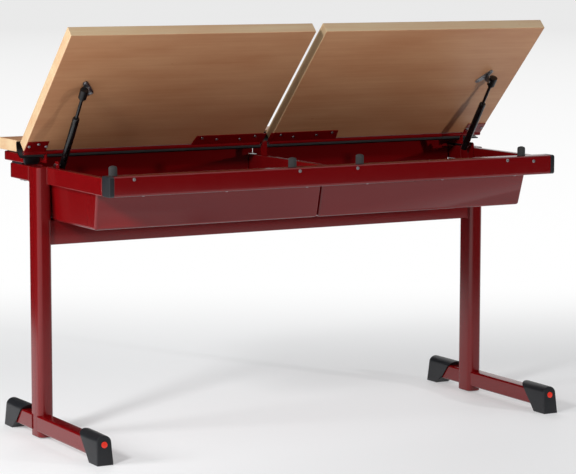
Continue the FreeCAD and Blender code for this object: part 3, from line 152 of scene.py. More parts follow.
def powder_coated_steel(tree, colours, sizes):
    """Polyester powder sprayed on steel and baked: a thick glossy skin with a faint orange peel."""
    point = node(tree, "TexCoord").outputs["Object"]
    drift = node(tree, "TexNoise", {"Vector": point, "Scale": per_metre(160 * MM), "Detail": 3.0})
    value = node(tree, "MapRange", {0: drift.outputs[0], 3: 0.94, 4: 1.06})
    tone = node(tree, "HueSaturation", {"Value": value.outputs[0], "Color": tuple(colours.coat)})
    peel = node(tree, "TexNoise", {"Vector": point, "Scale": per_metre(sizes.orange_peel), "Detail": 1.0})
    gloss = node(tree, "MapRange", {0: drift.outputs[0], 3: 0.17, 4: 0.26})
    dimples = node(tree, "Bump", {"Height": peel.outputs[0], "Strength": 0.12, "Distance": 0.1 * MM})
    return node(tree, "BsdfPrincipled", {"Base Color": tone.outputs[0], "Roughness": gloss.outputs[0],
                                         "IOR": 1.52, "Normal": dimples.outputs[0]})


def beech(tree, sizes, pale, dark, contrast, gloss):
    """Steamed beech under satin lacquer: cloudy bands, fine fibres, short ray flecks and rare pin knots.

    Each layer is a pattern stretched to its real length along the grain and width across it. A range of the
    pattern becomes a mark from near to far, and the marks add up to the share of the dark tone.
    """
    point = node(tree, "Attribute", attribute_name="board_point").outputs["Vector"]
    band = sizes.grain_band
    layers = {
        "bands": ("TexNoise", band * 40, band, {"Detail": 3.0, "Distortion": 0.6}, 0.3, 0.72, 0.0,
                  contrast * 0.6),
        "clouds": ("TexNoise", band * 24, band * 7, {"Detail": 3.0}, 0.3, 0.72, 0.0, contrast),
        "fibres": ("TexNoise", 60 * MM, 0.9 * MM, {"Detail": 3.0}, 0.35, 0.7, 0.0, contrast * 0.35),
        "flecks": ("TexVoronoi", 9 * MM, 2.2 * MM, {}, 0.0, 0.16, 0.35, 0.0),
        "knots": ("TexVoronoi", 150 * MM, 90 * MM, {}, 0.01, 0.035, 0.6, 0.0),
    }
    patterns = {}
    total = 0.0
    for name, (kind, along, across, settings, start, end, near, far) in layers.items():
        scale = (per_metre(along), per_metre(across), per_metre(across))
        stretched = node(tree, "Mapping", {"Vector": point, "Scale": scale}).outputs[0]
        patterns[name] = node(tree, kind, {"Vector": stretched, "Scale": 1.0, **settings}).outputs[0]
        mark = node(tree, "MapRange", {0: patterns[name], 1: start, 2: end, 3: near, 4: far}).outputs[0]
        total = node(tree, "Math", {0: total, 1: mark}, operation="ADD", use_clamp=True).outputs[0]
    tone = node(tree, "Mix", {0: total, 6: tuple(pale), 7: tuple(dark)}, data_type="RGBA")
    pores = node(tree, "Bump", {"Height": patterns["fibres"], "Strength": 0.15, "Distance": 0.1 * MM})
    return node(tree, "BsdfPrincipled", {"Base Color": tone.outputs[2], "Roughness": gloss, "IOR": 1.5,
                                         "Normal": pores.outputs[0]})


def lacquered_beech_veneer(tree, colours, sizes):
    """Sliced veneer: calm reddish brown faces."""
    return beech(tree, sizes, colours.veneer, colours.streak, 0.5, 0.42)


def lacquered_beech_lipping(tree, colours, sizes):
    """Solid strips round the board, planed flush: paler than the veneer, with straighter grain."""
    return beech(tree, sizes, colours.lipping, colours.veneer, 0.45, 0.38)


def moulded(tree, tint, grain, depth, gloss, refraction=1.49):
    """Thermoplastic from a spark-eroded mould, its fine grain drawn as coarse as it needs to show."""
    spread = 0.06
    speckle = node(tree, "TexNoise", {"Vector": node(tree, "TexCoord").outputs["Object"],
                                      "Scale": per_metre(grain), "Detail": 2.0})
    shine = node(tree, "MapRange", {0: speckle.outputs[0], 3: gloss - spread, 4: gloss + spread})
    relief = node(tree, "Bump", {"Height": speckle.outputs[0], "Strength": 0.3, "Distance": depth})
    return node(tree, "BsdfPrincipled", {"Base Color": tuple(tint), "Roughness": shine.outputs[0],
                                         "IOR": refraction, "Normal": relief.outputs[0]})


def black_polypropylene(tree, colours, sizes):
    """Injection-moulded caps and shoes, matt and lightly grained."""
    return moulded(tree, colours.moulding, 1.2 * MM, 0.08 * MM, 0.46)


def black_vinyl_with_painted_shade(tree, colours, sizes):
    """Extruded strip in satin black, made darker and less reflective than its own black as painted shade,
    standing for the shadowed gap under the hinge.
    """
    return moulded(tree, colours.vinyl_with_painted_shade, 2 * MM, 0.02 * MM, 0.3, refraction=1.36)


def black_nylon(tree, colours, sizes):
    """Injection-moulded ball sockets, deep black with a dull sheen."""
    return moulded(tree, colours.nylon, 1 * MM, 0.03 * MM, 0.36, refraction=1.42)


def red_polypropylene(tree, colours, sizes):
    """Small glossy plugs."""
    return moulded(tree, colours.plug, 2 * MM, 0.02 * MM, 0.25)


def buffer_rubber(tree, colours, sizes):
    """Moulded grey rubber, smooth and faintly glossy."""
    return moulded(tree, colours.buffer, 1.5 * MM, 0.05 * MM, 0.3)


def zinc_plated_steel(tree, colours, sizes):
    """Dulled zinc on cold-headed steel: metal with faint cloudiness."""
    cloud = node(tree, "TexNoise", {"Vector": node(tree, "TexCoord").outputs["Object"],
                                    "Scale": per_metre(3 * MM)})
    shine = node(tree, "MapRange", {0: cloud.outputs[0], 3: 0.34, 4: 0.5})
    return node(tree, "BsdfPrincipled", {"Base Color": tuple(colours.zinc), "Metallic": 1.0,
                                         "Roughness": shine.outputs[0]})


def lacquered_spring_steel(tree, colours, sizes):
    """Black stoving lacquer on drawn tube: smooth and glossy, its gloss a little uneven."""
    marks = node(tree, "TexNoise", {"Vector": node(tree, "TexCoord").outputs["Object"],
                                    "Scale": per_metre(6 * MM), "Detail": 2.0})
    shine = node(tree, "MapRange", {0: marks.outputs[0], 3: 0.2, 4: 0.32})
    return node(tree, "BsdfPrincipled", {"Base Color": tuple(colours.spring), "Roughness": shine.outputs[0],
                                         "IOR": 1.5})


FINISHES = {function.__name__: function for function in (
    powder_coated_steel, lacquered_beech_veneer, lacquered_beech_lipping, black_polypropylene,
    black_vinyl_with_painted_shade, black_nylon, red_polypropylene, buffer_rubber, zinc_plated_steel,
    lacquered_spring_steel)}

FINISH_OF_SLOT = {
    "red_powder_coat": "powder_coated_steel",
    "beech_board": "lacquered_beech_veneer",
    "black_plastic": "black_polypropylene",
    "red_plug": "red_polypropylene",
    "buffer_rubber": "buffer_rubber",
    "zinc_screw": "zinc_plated_steel",
    "black_steel": "lacquered_spring_steel",
}


def empty_material(name):
    """New material whose node tree is empty, and that tree."""
    material = bpy.data.materials.new(name)
    material.use_nodes = True
    material.node_tree.nodes.clear()
    return material, material.node_tree


def finish(name):
    """The named material, made by its own function the first time that it is asked for."""
    found = bpy.data.materials.get(name)
    if found is None:
        found, tree = empty_material(name)
        shader = FINISHES[name](tree, bpy.context.scene.desk_colours, bpy.context.scene.desk_sizes)
        node(tree, "OutputMaterial", {"Surface": shader.outputs[0]})
    return found


# Mesh helpers

def in_scene(name, data):
    """New object of this data, linked to the scene."""
    item = bpy.data.objects.new(name, data)
    bpy.context.scene.collection.objects.link(item)
    return item


def mesh_piece(name, vertices, faces, materials, marks=None, sharp=35):
    """Mesh object of these points and faces, with doubles merged, faces outwards and soft edges smooth.

    marks is the number of the material of each face.
    """
    mesh = bpy.data.meshes.new(name)
    mesh.from_pydata(np.asarray(vertices).tolist(), [], [list(map(int, face)) for face in faces])
    for material in materials:
        mesh.materials.append(finish(material))
    if marks is not None:
        mesh.polygons.foreach_set("material_index", np.asarray(marks, np.int32))
    shape = bmesh.new()
    shape.from_mesh(mesh)
    bmesh.ops.remove_doubles(shape, verts=shape.verts, dist=0.002 * MM)
    bmesh.ops.recalc_face_normals(shape, faces=shape.faces)
    shape.to_mesh(mesh)
    shape.free()
    mesh.shade_smooth()
    mesh.set_sharp_from_angle(angle=math.radians(sharp))
    return in_scene(name, mesh)


def joined(shells):
    """Points and faces of several shells as one list each."""
    points = []
    faces = []
    start = 0
    for vertices, shell_faces in shells:
        points.append(np.asarray(vertices))
        faces += [[start + corner for corner in face] for face in shell_faces]
        start += len(vertices)
    return np.concatenate(points), faces


def carried(rings, closed=False):
    """Shell through rings of equally many points: four-sided faces from each ring to the next.

    A closed shell joins its last ring to its first, and an open one gets a flat face at each end.
    """
    count, size = rings.shape[:2]
    index = np.arange(count * size).reshape(count, size)
    following = np.roll(index, -1, axis=0) if closed else index[1:]
    nearer = index if closed else index[:-1]
    quads = np.stack([nearer, np.roll(nearer, -1, axis=1), np.roll(following, -1, axis=1), following],
                     axis=-1)
    faces = quads.reshape(-1, 4).tolist()
    if not closed:
        faces += [index[0].tolist(), index[-1].tolist()]
    return rings.reshape(-1, 3), faces


def rounded_rectangle(width, height, radius, steps=6):
    """Points round a rectangle centred on zero whose corners are quarter circles of this radius."""
    turn = np.linspace(0, math.pi / 2, steps + 1)
    radius = min(radius, width / 2, height / 2)
    points = []
    for quarter, (across, up) in enumerate(((1, 1), (-1, 1), (-1, -1), (1, -1))):
        angle = turn + quarter * math.pi / 2
        points.append(np.stack([across * (width / 2 - radius) + radius * np.cos(angle),
                                up * (height / 2 - radius) + radius * np.sin(angle)], axis=1))
    return np.concatenate(points)


def others(number):
    """The two axes besides this one."""
    return [other for other in range(3) if other != number]


def oriented(across, up, along, axis):
    """Points from their two places in a section and their place along an axis of the desk."""
    columns = {"x": (along, across, up), "y": (across, along, up), "z": (across, up, along)}[axis]
    return np.stack(np.broadcast_arrays(*columns), axis=-1)


def section_bar(low, high, axis, radius, stations, closed=False):
    """Rounded rectangle carried along an axis from corner to corner.

    Each station is how far the rectangle is drawn in there, and how far along from the low corner it lies.
    """
    number = AXES[axis]
    across, up = others(number)
    width = high[across] - low[across]
    height = high[up] - low[up]
    rings = []
    for inset, place in stations:
        loop = rounded_rectangle(width - 2 * inset, height - 2 * inset, max(radius - inset, 0.2 * MM))
        rings.append(oriented((low[across] + high[across]) / 2 + loop[:, 0],
                              (low[up] + high[up]) / 2 + loop[:, 1], low[number] + place, axis))
    return carried(np.array(rings), closed)


def rounding(radius, end, outward, steps=4):
    """Stations of a rounded end at a place along a part, from its side to its end face."""
    turn = np.linspace(0, math.pi / 2, steps + 1)
    return [(radius * (1 - math.cos(angle)), end - outward * radius * (1 - math.sin(angle)))
            for angle in turn]


def turned(profile, segments=32):
    """Shell of revolution about zero along Z from pairs of radius and height, poles included."""
    angle = np.linspace(0, 2 * math.pi, segments, endpoint=False)
    radius, height = np.array(profile, float).T
    rings = np.stack([radius[:, None] * np.cos(angle), radius[:, None] * np.sin(angle),
                      np.broadcast_to(height[:, None], (len(radius), segments))], axis=-1)
    return carried(rings)


def placed(shell, centre, direction):
    """Shell with its Z turned to a direction and its zero moved to a centre."""
    vertices, faces = shell
    turn = Vector((0, 0, 1)).rotation_difference(Vector(direction)).to_matrix()
    return np.asarray(vertices) @ np.array(turn).T + np.array(centre), faces


def rounded_block(low, high, radius, steps=4):
    """Block whose skin lies everywhere at one radius from an inner block.

    A grid on each side of the block is drawn to that radius from the nearest point of the inner block.
    """
    low, high = np.array(low, float), np.array(high, float)
    half_angles = np.tan(np.linspace(-math.pi / 4, 0, steps + 1)) * radius
    lines = []
    for start, end in zip(low, high):
        lines.append(np.concatenate([start + radius + half_angles, end - radius - half_angles[::-1]]))
    shells = []
    for number in range(3):
        first, second = others(number)
        for level in (low[number], high[number]):
            grid = np.empty((len(lines[first]), len(lines[second]), 3))
            grid[..., first] = lines[first][:, None]
            grid[..., second] = lines[second][None, :]
            grid[..., number] = level
            core = np.clip(grid, low + radius, high - radius)
            away = grid - core
            away /= np.maximum(np.linalg.norm(away, axis=-1, keepdims=True), 1e-12)
            grid = core + away * radius
            index = np.arange(grid[..., 0].size).reshape(grid.shape[:2])
            quads = np.stack([index[:-1, :-1], index[1:, :-1], index[1:, 1:], index[:-1, 1:]], axis=-1)
            shells.append((grid.reshape(-1, 3), quads.reshape(-1, 4).tolist()))
    return joined(shells)


def box(name):
    """Lowest and highest corner of a node as arrays."""
    low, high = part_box(name)
    return np.array(low), np.array(high)


def body_of_node(name):
    return frame["nodes"][name]["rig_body"]


def mount(item, slot, *replaced, body=None):
    """Let a piece ride on a body and stand for the nodes that it replaces. Its slot is not used."""
    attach(item, body or body_of_node(replaced[0]))
    if replaced:
        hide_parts(*replaced)


def fitted(name, shell, slot, *replaced, body=None, sharp=35):
    """Mount a piece that is one shell in the material of its slot."""
    mount(mesh_piece(name, *shell, [FINISH_OF_SLOT[slot]], sharp=sharp), slot, *replaced, body=body)


def eased_copy(name, slot, round_size, sharp=30, material=None):
    """Copy of a node with its loose triangles joined into clean faces and its sharp edges rounded."""
    source = frame["nodes"][name]
    mesh = source.data.copy()
    mesh.name = f"{name}_finished"
    shape = bmesh.new()
    shape.from_mesh(mesh)
    bmesh.ops.remove_doubles(shape, verts=shape.verts, dist=0.005 * MM)
    bmesh.ops.dissolve_limit(shape, angle_limit=math.radians(0.6), verts=shape.verts, edges=shape.edges)
    shape.to_mesh(mesh)
    shape.free()
    mesh.materials.clear()
    mesh.materials.append(finish(material or FINISH_OF_SLOT[slot]))
    mesh.shade_smooth()
    mesh.set_sharp_from_angle(angle=math.radians(sharp))
    item = in_scene(mesh.name, mesh)
    if round_size > 0:
        bevel = item.modifiers.new("eased", "BEVEL")
        bevel.width = round_size
        bevel.segments = 2
        bevel.limit_method = "ANGLE"
        bevel.angle_limit = math.radians(sharp)
    mount(item, slot, name)


# The hinge line and how the lids lie

def joint(name):
    return next(item for item in frame["joints"] if item["name"] == name)


def lid_turned(points, side, way):
    """Points turned about a lid's hinge line over its whole travel: way is 1 to shut it and -1 to open it."""
    hinge = joint(f"{side}_lid_hinge")
    pivot = np.array(hinge["pos_m"])
    turn = np.array(Matrix.Rotation(way * math.radians(hinge["range_deg"][1]), 3, "X"))
    return (np.asarray(points) - pivot) @ turn.T + pivot


def islands(name, shut_side=None):
    """Low and high corners of each separate solid of a node, with the lid shut where a side is given."""
    shape = bmesh.new()
    shape.from_mesh(frame["nodes"][name].data)
    bmesh.ops.remove_doubles(shape, verts=shape.verts, dist=0.005 * MM)
    seen = set()
    boxes = []
    for start in shape.verts:
        if start in seen:
            continue
        group = []
        waiting = [start]
        seen.add(start)
        while waiting:
            vertex = waiting.pop()
            group.append(vertex.co[:])
            for edge in vertex.link_edges:
                other = edge.other_vert(vertex)
                if other not in seen:
                    seen.add(other)
                    waiting.append(other)
        points = np.array(group)
        if shut_side:
            points = lid_turned(points, shut_side, 1)
        boxes.append((points.min(axis=0), points.max(axis=0)))
    shape.free()
    return boxes


COLUMN_CORNER = 13 * MM


def each_side(rows):
    """Rows of a table, those whose name ends in an underscore once for each side."""
    return [(name + side, *rest) for name, *rest in rows for side in (SIDES if name.endswith("_") else [""])]


# Steel tubes: node, axis, corner radius, and whether the low and the high end are welded on

TUBES = each_side((
    ("front_beam", "x", 6 * MM, False, False),
    ("end_rail_", "y", 3 * MM, True, True),
    ("middle_rail", "y", 3 * MM, True, True),
    ("rear_beam", "x", 3 * MM, True, True),
    ("rear_arm_", "y", 3 * MM, True, False),
    ("stretcher", "x", 3 * MM, True, True),
    ("upper_rail_", "y", 3 * MM, False, False),
    ("foot_front_", "y", 5 * MM, False, True),
    ("foot_rear_", "y", 5 * MM, True, False),
))


def on_column(name, high_end):
    """Whether this end of a tube meets the rounded front or back of a column."""
    return name.startswith(("foot_front", "end_rail") if high_end else ("foot_rear", "rear_arm"))


class DESK_OT_tubes(bpy.types.Operator):
    """Draw the welded steel tubes with rounded corners and open ends"""

    bl_idname = "desk.tubes"
    bl_label = "Steel tubes"

    coped = 1.5 * MM
    coped_column = COLUMN_CORNER + 1 * MM

    def execute(self, context):
        sizes = context.scene.desk_sizes
        ease = sizes.eased_edge
        wall = sizes.tube_wall
        for name, axis, radius, low_welded, high_welded in TUBES:
            low, high = box(name)
            span = high[AXES[axis]] - low[AXES[axis]]
            start = -(self.coped_column if on_column(name, False) else self.coped) if low_welded else 0.0
            end = span + (self.coped_column if on_column(name, True) else self.coped) * high_welded
            stations = [(ease, start), (0, start + ease), (0, end - ease), (ease, end), (wall - ease, end),
                        (wall, end - ease), (wall, start + ease), (wall - ease, start)]
            shell = section_bar(low, high, axis, radius, stations, closed=True)
            fitted(f"{name}_tube", shell, "red_powder_coat", name)
        return {"FINISHED"}


class DESK_OT_welds(bpy.types.Operator):
    """Draw the rippled weld beads where tubes meet"""

    bl_idname = "desk.welds"
    bl_label = "Weld beads"

    ripple = 0.16
    round_steps = 8

    def fall_back(self, across, side):
        """How far the column's face lies behind its foremost line there: a quarter circle at each corner."""
        low, high = box(f"column_{side}")
        beyond = np.abs(across - (low[0] + high[0]) / 2) - ((high[0] - low[0]) / 2 - COLUMN_CORNER)
        beyond = np.clip(beyond, 0, COLUMN_CORNER * 0.9)
        return COLUMN_CORNER - np.sqrt(COLUMN_CORNER ** 2 - beyond ** 2)

    def bead(self, low, high, axis, place, radius, sizes, side=None):
        """Torus carried round the tube at one of its ends.

        The path is the tube's rounded section, and the bead's radius rises and falls with the distance
        along it, once for each ripple of the weld. On a column it follows the column's rounded corners.
        """
        number = AXES[axis]
        across, up = others(number)
        width, height = high[across] - low[across], high[up] - low[up]
        loop = rounded_rectangle(width, height, radius, steps=4)
        ahead = np.roll(loop, -1, axis=0)
        lengths = np.linalg.norm(ahead - loop, axis=1)
        travelled = np.concatenate([[0], np.cumsum(lengths)])
        count = int(travelled[-1] / sizes.bead_pitch) * 4
        marks = np.linspace(0, travelled[-1], count, endpoint=False)
        closed = np.concatenate([loop, loop[:1]])
        path = np.stack([np.interp(marks, travelled, closed[:, part]) for part in (0, 1)], axis=1)
        tangent = np.roll(path, -1, axis=0) - np.roll(path, 1, axis=0)
        tangent /= np.linalg.norm(tangent, axis=1, keepdims=True)
        outward = np.stack([tangent[:, 1], -tangent[:, 0]], axis=1)
        thick = sizes.bead_radius * (1 + self.ripple * np.cos(marks / sizes.bead_pitch * 2 * math.pi))
        angle = np.linspace(0, 2 * math.pi, self.round_steps, endpoint=False)
        off = thick[:, None] * np.cos(angle)
        along = thick[:, None] * np.sin(angle)
        spots = path[:, None, :] + outward[:, None, :] * off[..., None]
        if side:
            outward_y = math.copysign(1, place - (low[1] + high[1]) / 2)
            along = along + outward_y * self.fall_back((low[0] + high[0]) / 2 + path[:, 0], side)[:, None]
        rings = oriented((low[across] + high[across]) / 2 + spots[..., 0],
                         (low[up] + high[up]) / 2 + spots[..., 1], place + along, axis)
        return carried(rings, closed=True)

    def execute(self, context):
        sizes = context.scene.desk_sizes
        shells = []
        for name, axis, radius, low_welded, high_welded in TUBES:
            low, high = box(name)
            for corner, welded, high_end in ((low, low_welded, False), (high, high_welded, True)):
                if welded and not name.startswith("foot"):
                    side = name.rsplit("_", 1)[1] if on_column(name, high_end) else None
                    shells.append(self.bead(low, high, axis, corner[AXES[axis]], radius, sizes, side))
        fitted("weld_beads", joined(shells), "red_powder_coat", body="frame", sharp=70)
        return {"FINISHED"}


class DESK_OT_columns(bpy.types.Operator):
    """Draw the oval-cornered columns, closed and rounded on top, open below"""

    bl_idname = "desk.columns"
    bl_label = "Columns"

    top_round = 3 * MM

    def execute(self, context):
        sizes = context.scene.desk_sizes
        wall = sizes.tube_wall
        for side in SIDES:
            low, high = box(f"column_{side}")
            height = high[2] - low[2]
            stations = [(wall, height - wall), (wall, sizes.eased_edge), (wall - sizes.eased_edge, 0),
                        (sizes.eased_edge, 0), (0, sizes.eased_edge)]
            stations += rounding(self.top_round, height, 1, steps=6)
            shell = section_bar(low, high, "z", COLUMN_CORNER, stations)
            fitted(f"column_{side}_tube", shell, "red_powder_coat", f"column_{side}")
        return {"FINISHED"}


class DESK_OT_sheet_parts(bpy.types.Operator):
    """Ease the edges of the folded trays, plates and lugs"""

    bl_idname = "desk.sheet_parts"
    bl_label = "Sheet metal parts"

    parts = each_side((
        ("tray_", 0.3 * MM), ("column_gussets", 0.5 * MM), ("hinge_lugs", 0.4 * MM),
        ("strut_foot_lugs", 0.4 * MM), ("hinge_inner_leaf_", 0.3 * MM), ("hinge_outer_leaf_", 0.3 * MM),
    ))

    leaf_thickness = 2 * MM
    barrel_clear = 8 * MM
    lug_clear = 7 * MM
    leaf_overlap = 6 * MM
    leaf_round = 0.3 * MM

    def leaf_end(self, side, sign):
        """Block of the leaf's thickness from beside the middle lug to the leaf, turned up with the lid."""
        low, high = islands(f"hinge_inner_leaf_{side}", side)[0]
        under = islands(f"lid_{side}", side)[0][0][2]
        near = sign * self.lug_clear
        far = (low[0] if sign > 0 else high[0]) + sign * self.leaf_overlap
        vertices, faces = rounded_block((min(near, far), low[1], under - self.leaf_thickness),
                                        (max(near, far), high[1] - self.barrel_clear, under),
                                        self.leaf_round, steps=2)
        fitted(f"hinge_inner_leaf_end_{side}", (lid_turned(vertices, side, -1), faces), "red_powder_coat",
               body=body_of_node(f"hinge_inner_leaf_{side}"))

    def execute(self, context):
        for name, round_size in self.parts:
            eased_copy(name, "red_powder_coat", round_size)
        for side, sign in SIDES.items():
            self.leaf_end(side, sign)
        return {"FINISHED"}


# Tube end caps: node, tube, axis, which end, and corner radius

CAPS = (
    ("front_beam_caps", ("front_beam", "front_beam"), "x", (-1, 1), 6 * MM),
    ("rear_arm_caps", ("rear_arm_left", "rear_arm_right"), "y", (1, 1), 3 * MM),
    ("upper_rail_rear_caps", ("upper_rail_left", "upper_rail_right"), "y", (1, 1), 3 * MM),
    ("upper_rail_front_caps", ("upper_rail_left", "upper_rail_right"), "y", (-1, -1), 3 * MM),
)


class DESK_OT_tube_caps(bpy.types.Operator):
    """Draw the moulded caps in the ends of the beam, arms and upper rails"""

    bl_idname = "desk.tube_caps"
    bl_label = "Tube end caps"

    parting_groove = 0.5 * MM
    nose_round = 1 * MM

    def cap(self, low, high, axis, outward, radius, sizes):
        """Head flush with the tube, with a fine groove where the two meet and a rounded outer edge."""
        span = high[AXES[axis]] - low[AXES[axis]]
        groove = self.parting_groove
        stations = [(groove, 0), (groove, groove), (0, groove * 1.6)]
        stations += rounding(sizes.cap_round, span, 1)
        if outward < 0:
            stations = [(inset, span - place) for inset, place in stations]
        return section_bar(low, high, axis, radius, stations)

    def execute(self, context):
        sizes = context.scene.desk_sizes
        for name, tubes, axis, ends, radius in CAPS:
            outer_low, outer_high = box(name)
            number = AXES[axis]
            shells = []
            for tube, outward in zip(tubes, ends):
                low, high = box(tube)
                if outward < 0:
                    high[number] = low[number]
                    low[number] = outer_low[number]
                else:
                    low[number] = high[number]
                    high[number] = outer_high[number]
                shells.append(self.cap(low, high, axis, outward, radius, sizes))
                if name == "upper_rail_front_caps":
                    nose_low = np.array([low[0] + radius, low[1] + sizes.cap_round, outer_low[2]])
                    nose_high = np.array([high[0] - radius, high[1], low[2] + radius])
                    shells.append(rounded_block(nose_low, nose_high, self.nose_round))
            fitted(f"{name}_moulded", joined(shells), "black_plastic", name)
        return {"FINISHED"}


def arched_section(width, wall, height, corner, steps=24):
    """Closed loop of a shoe: flat bottom, rounded corners, upright walls, and half an ellipse as its roof."""
    roof = np.linspace(0, math.pi, steps + 1)
    turn = np.linspace(-math.pi / 2, 0, 5)
    right = np.stack([width / 2 - corner + corner * np.cos(turn), corner + corner * np.sin(turn)], axis=1)
    walls = np.array([[width / 2, wall * share] for share in (0.35, 0.7)])
    arch = np.stack([width / 2 * np.cos(roof), wall + (height - wall) * np.sin(roof)], axis=1)
    mirror = (-1, 1)
    return np.concatenate([right, walls, arch, walls[::-1] * mirror, right[::-1] * mirror])


class DESK_OT_shoes(bpy.types.Operator):
    """Draw the plastic shoes over the ends of the feet"""

    bl_idname = "desk.shoes"
    bl_label = "Foot shoes"

    # heights above the floor, and how far from its outer end a shoe reaches there
    front_joint = ((0, 46 * MM), (9 * MM, 52 * MM), (54 * MM, 92 * MM), (68 * MM, 110 * MM))
    rear_joint = ((0, 44 * MM), (13 * MM, 68 * MM), (54 * MM, 101 * MM), (68 * MM, 118 * MM))
    wall_height = 53 * MM
    bottom_corner = 2 * MM
    end_round = 2.2 * MM
    end_lean = 0.12
    end_narrowing = 3 * MM
    narrowing_reach = 70 * MM
    bays = 10

    def shell(self, low, high, inward, joint_line):
        """Arched section carried from the outer end to the joint.

        Each lengthwise line starts on the leaning end face and ends where the joint lies at its height. The
        walls draw in with height towards the end, whose edge is rounded like a quarter circle.
        """
        width, length, height = high - low
        loop = arched_section(width, self.wall_height, height, self.bottom_corner)
        heights, reaches = np.array(joint_line).T
        longest = np.interp(loop[:, 1], heights, reaches)
        nearest = loop[:, 1] * self.end_lean
        turn = np.linspace(0, math.pi / 2, 5)
        stations = [(self.end_round * (1 - math.sin(angle)), self.end_round * (1 - math.cos(angle)), 0.0)
                    for angle in turn]
        stations += [(0.0, self.end_round, share) for share in np.linspace(0, 1, self.bays + 1)[1:]]
        outer = low[1] if inward > 0 else high[1]
        rings = []
        for inset, start, share in stations:
            along = nearest + start + (longest - nearest - start) * share
            closeness = np.clip(1 - along / self.narrowing_reach, 0, 1)
            drawn_in = self.end_narrowing * closeness * loop[:, 1] / self.wall_height
            across = loop[:, 0] * (1 - 2 * (inset + drawn_in) / width)
            up = height / 2 + (loop[:, 1] - height / 2) * (1 - 2 * inset / height)
            rings.append(oriented((low[0] + high[0]) / 2 + across, low[2] + up, outer + inward * along, "y"))
        return carried(np.array(rings))

    def execute(self, context):
        for node_name, inward, joint_line in (("foot_front_caps", 1, self.front_joint),
                                              ("foot_rear_caps", -1, self.rear_joint)):
            shells = [self.shell(low, high, inward, joint_line) for low, high in islands(node_name)]
            fitted(f"{node_name}_moulded", joined(shells), "black_plastic", node_name, sharp=40)
        return {"FINISHED"}


class DESK_OT_foot_plugs(bpy.types.Operator):
    """Draw the round red plugs in the ends of the shoes"""

    bl_idname = "desk.foot_plugs"
    bl_label = "Foot plugs"

    proud = 1.1 * MM

    def execute(self, context):
        lean = DESK_OT_shoes.end_lean
        shells = []
        for low, high in islands("foot_plugs"):
            centre = (low + high) / 2
            outward = np.sign(centre[1])
            radius = (high[0] - low[0]) / 2
            depth = high[1] - low[1]
            rim = self.proud
            profile = [(0, -depth), (radius, -depth), (radius, rim - 0.5 * MM),
                       (radius - 0.15 * MM, rim - 0.2 * MM), (radius - 0.5 * MM, rim), (radius * 0.72, rim),
                       (radius * 0.66, rim - 0.35 * MM), (radius * 0.3, rim - 0.2 * MM), (0, rim - 0.15 * MM)]
            end = box("foot_rear_caps")[1][1] if outward > 0 else box("foot_front_caps")[0][1]
            seat = (centre[0], end - outward * centre[2] * lean, centre[2])
            shells.append(placed(turned(profile), seat, (0, outward, lean)))
        fitted("foot_plugs_moulded", joined(shells), "red_plug", "foot_plugs")
        return {"FINISHED"}


class DESK_OT_boards(bpy.types.Operator):
    """Draw the two lids and the rear panel as lipped and veneered beech boards"""

    bl_idname = "desk.boards"
    bl_label = "Beech boards"

    # metres by which the grain of each board is shifted, and the part of an edge's round that is veneered
    seed_shift = {"lid_left": 0.0, "lid_right": 3.1, "rear_panel": 7.7}
    face_share = 0.3

    def board(self, name, low, high, radius, side):
        """Rounded block, its broad faces veneered and the rest lipped.

        The attribute board_point keeps each point's place on the board as it lies shut, so that the grain
        runs along it.
        """
        points, faces = rounded_block(low, high, radius, steps=5)
        middles = np.array([points[face, 2].mean() for face in faces])
        skin = radius * self.face_share
        marks = np.where((middles < low[2] + skin) | (middles > high[2] - skin), 0, 1)
        if side:
            points = lid_turned(points, side, -1)
        item = mesh_piece(f"{name}_board", points, faces,
                          ["lacquered_beech_veneer", "lacquered_beech_lipping"], marks)
        settled = np.empty(len(item.data.vertices) * 3)
        item.data.vertices.foreach_get("co", settled)
        settled = settled.reshape(-1, 3)
        if side:
            settled = lid_turned(settled, side, 1)
        local = settled - low + self.seed_shift[name]
        attribute = item.data.attributes.new("board_point", "FLOAT_VECTOR", "POINT")
        attribute.data.foreach_set("vector", local.astype(np.float32).ravel())
        mount(item, "beech_board", name)

    def execute(self, context):
        radius = context.scene.desk_sizes.board_round
        for side in SIDES:
            low, high = islands(f"lid_{side}", side)[0]
            self.board(f"lid_{side}", low, high, radius, side)
        low, high = box("rear_panel")
        self.board("rear_panel", low, high, radius, None)
        return {"FINISHED"}


class DESK_OT_trough(bpy.types.Operator):
    """Ease the edges of the pencil trough"""

    bl_idname = "desk.trough"
    bl_label = "Pencil trough"

    edge_round = 0.8 * MM

    def execute(self, context):
        # the trough takes a black deepened as painted shade of the gap under the hinge
        eased_copy("pencil_trough", "black_plastic", self.edge_round, material="black_vinyl_with_painted_shade")
        return {"FINISHED"}


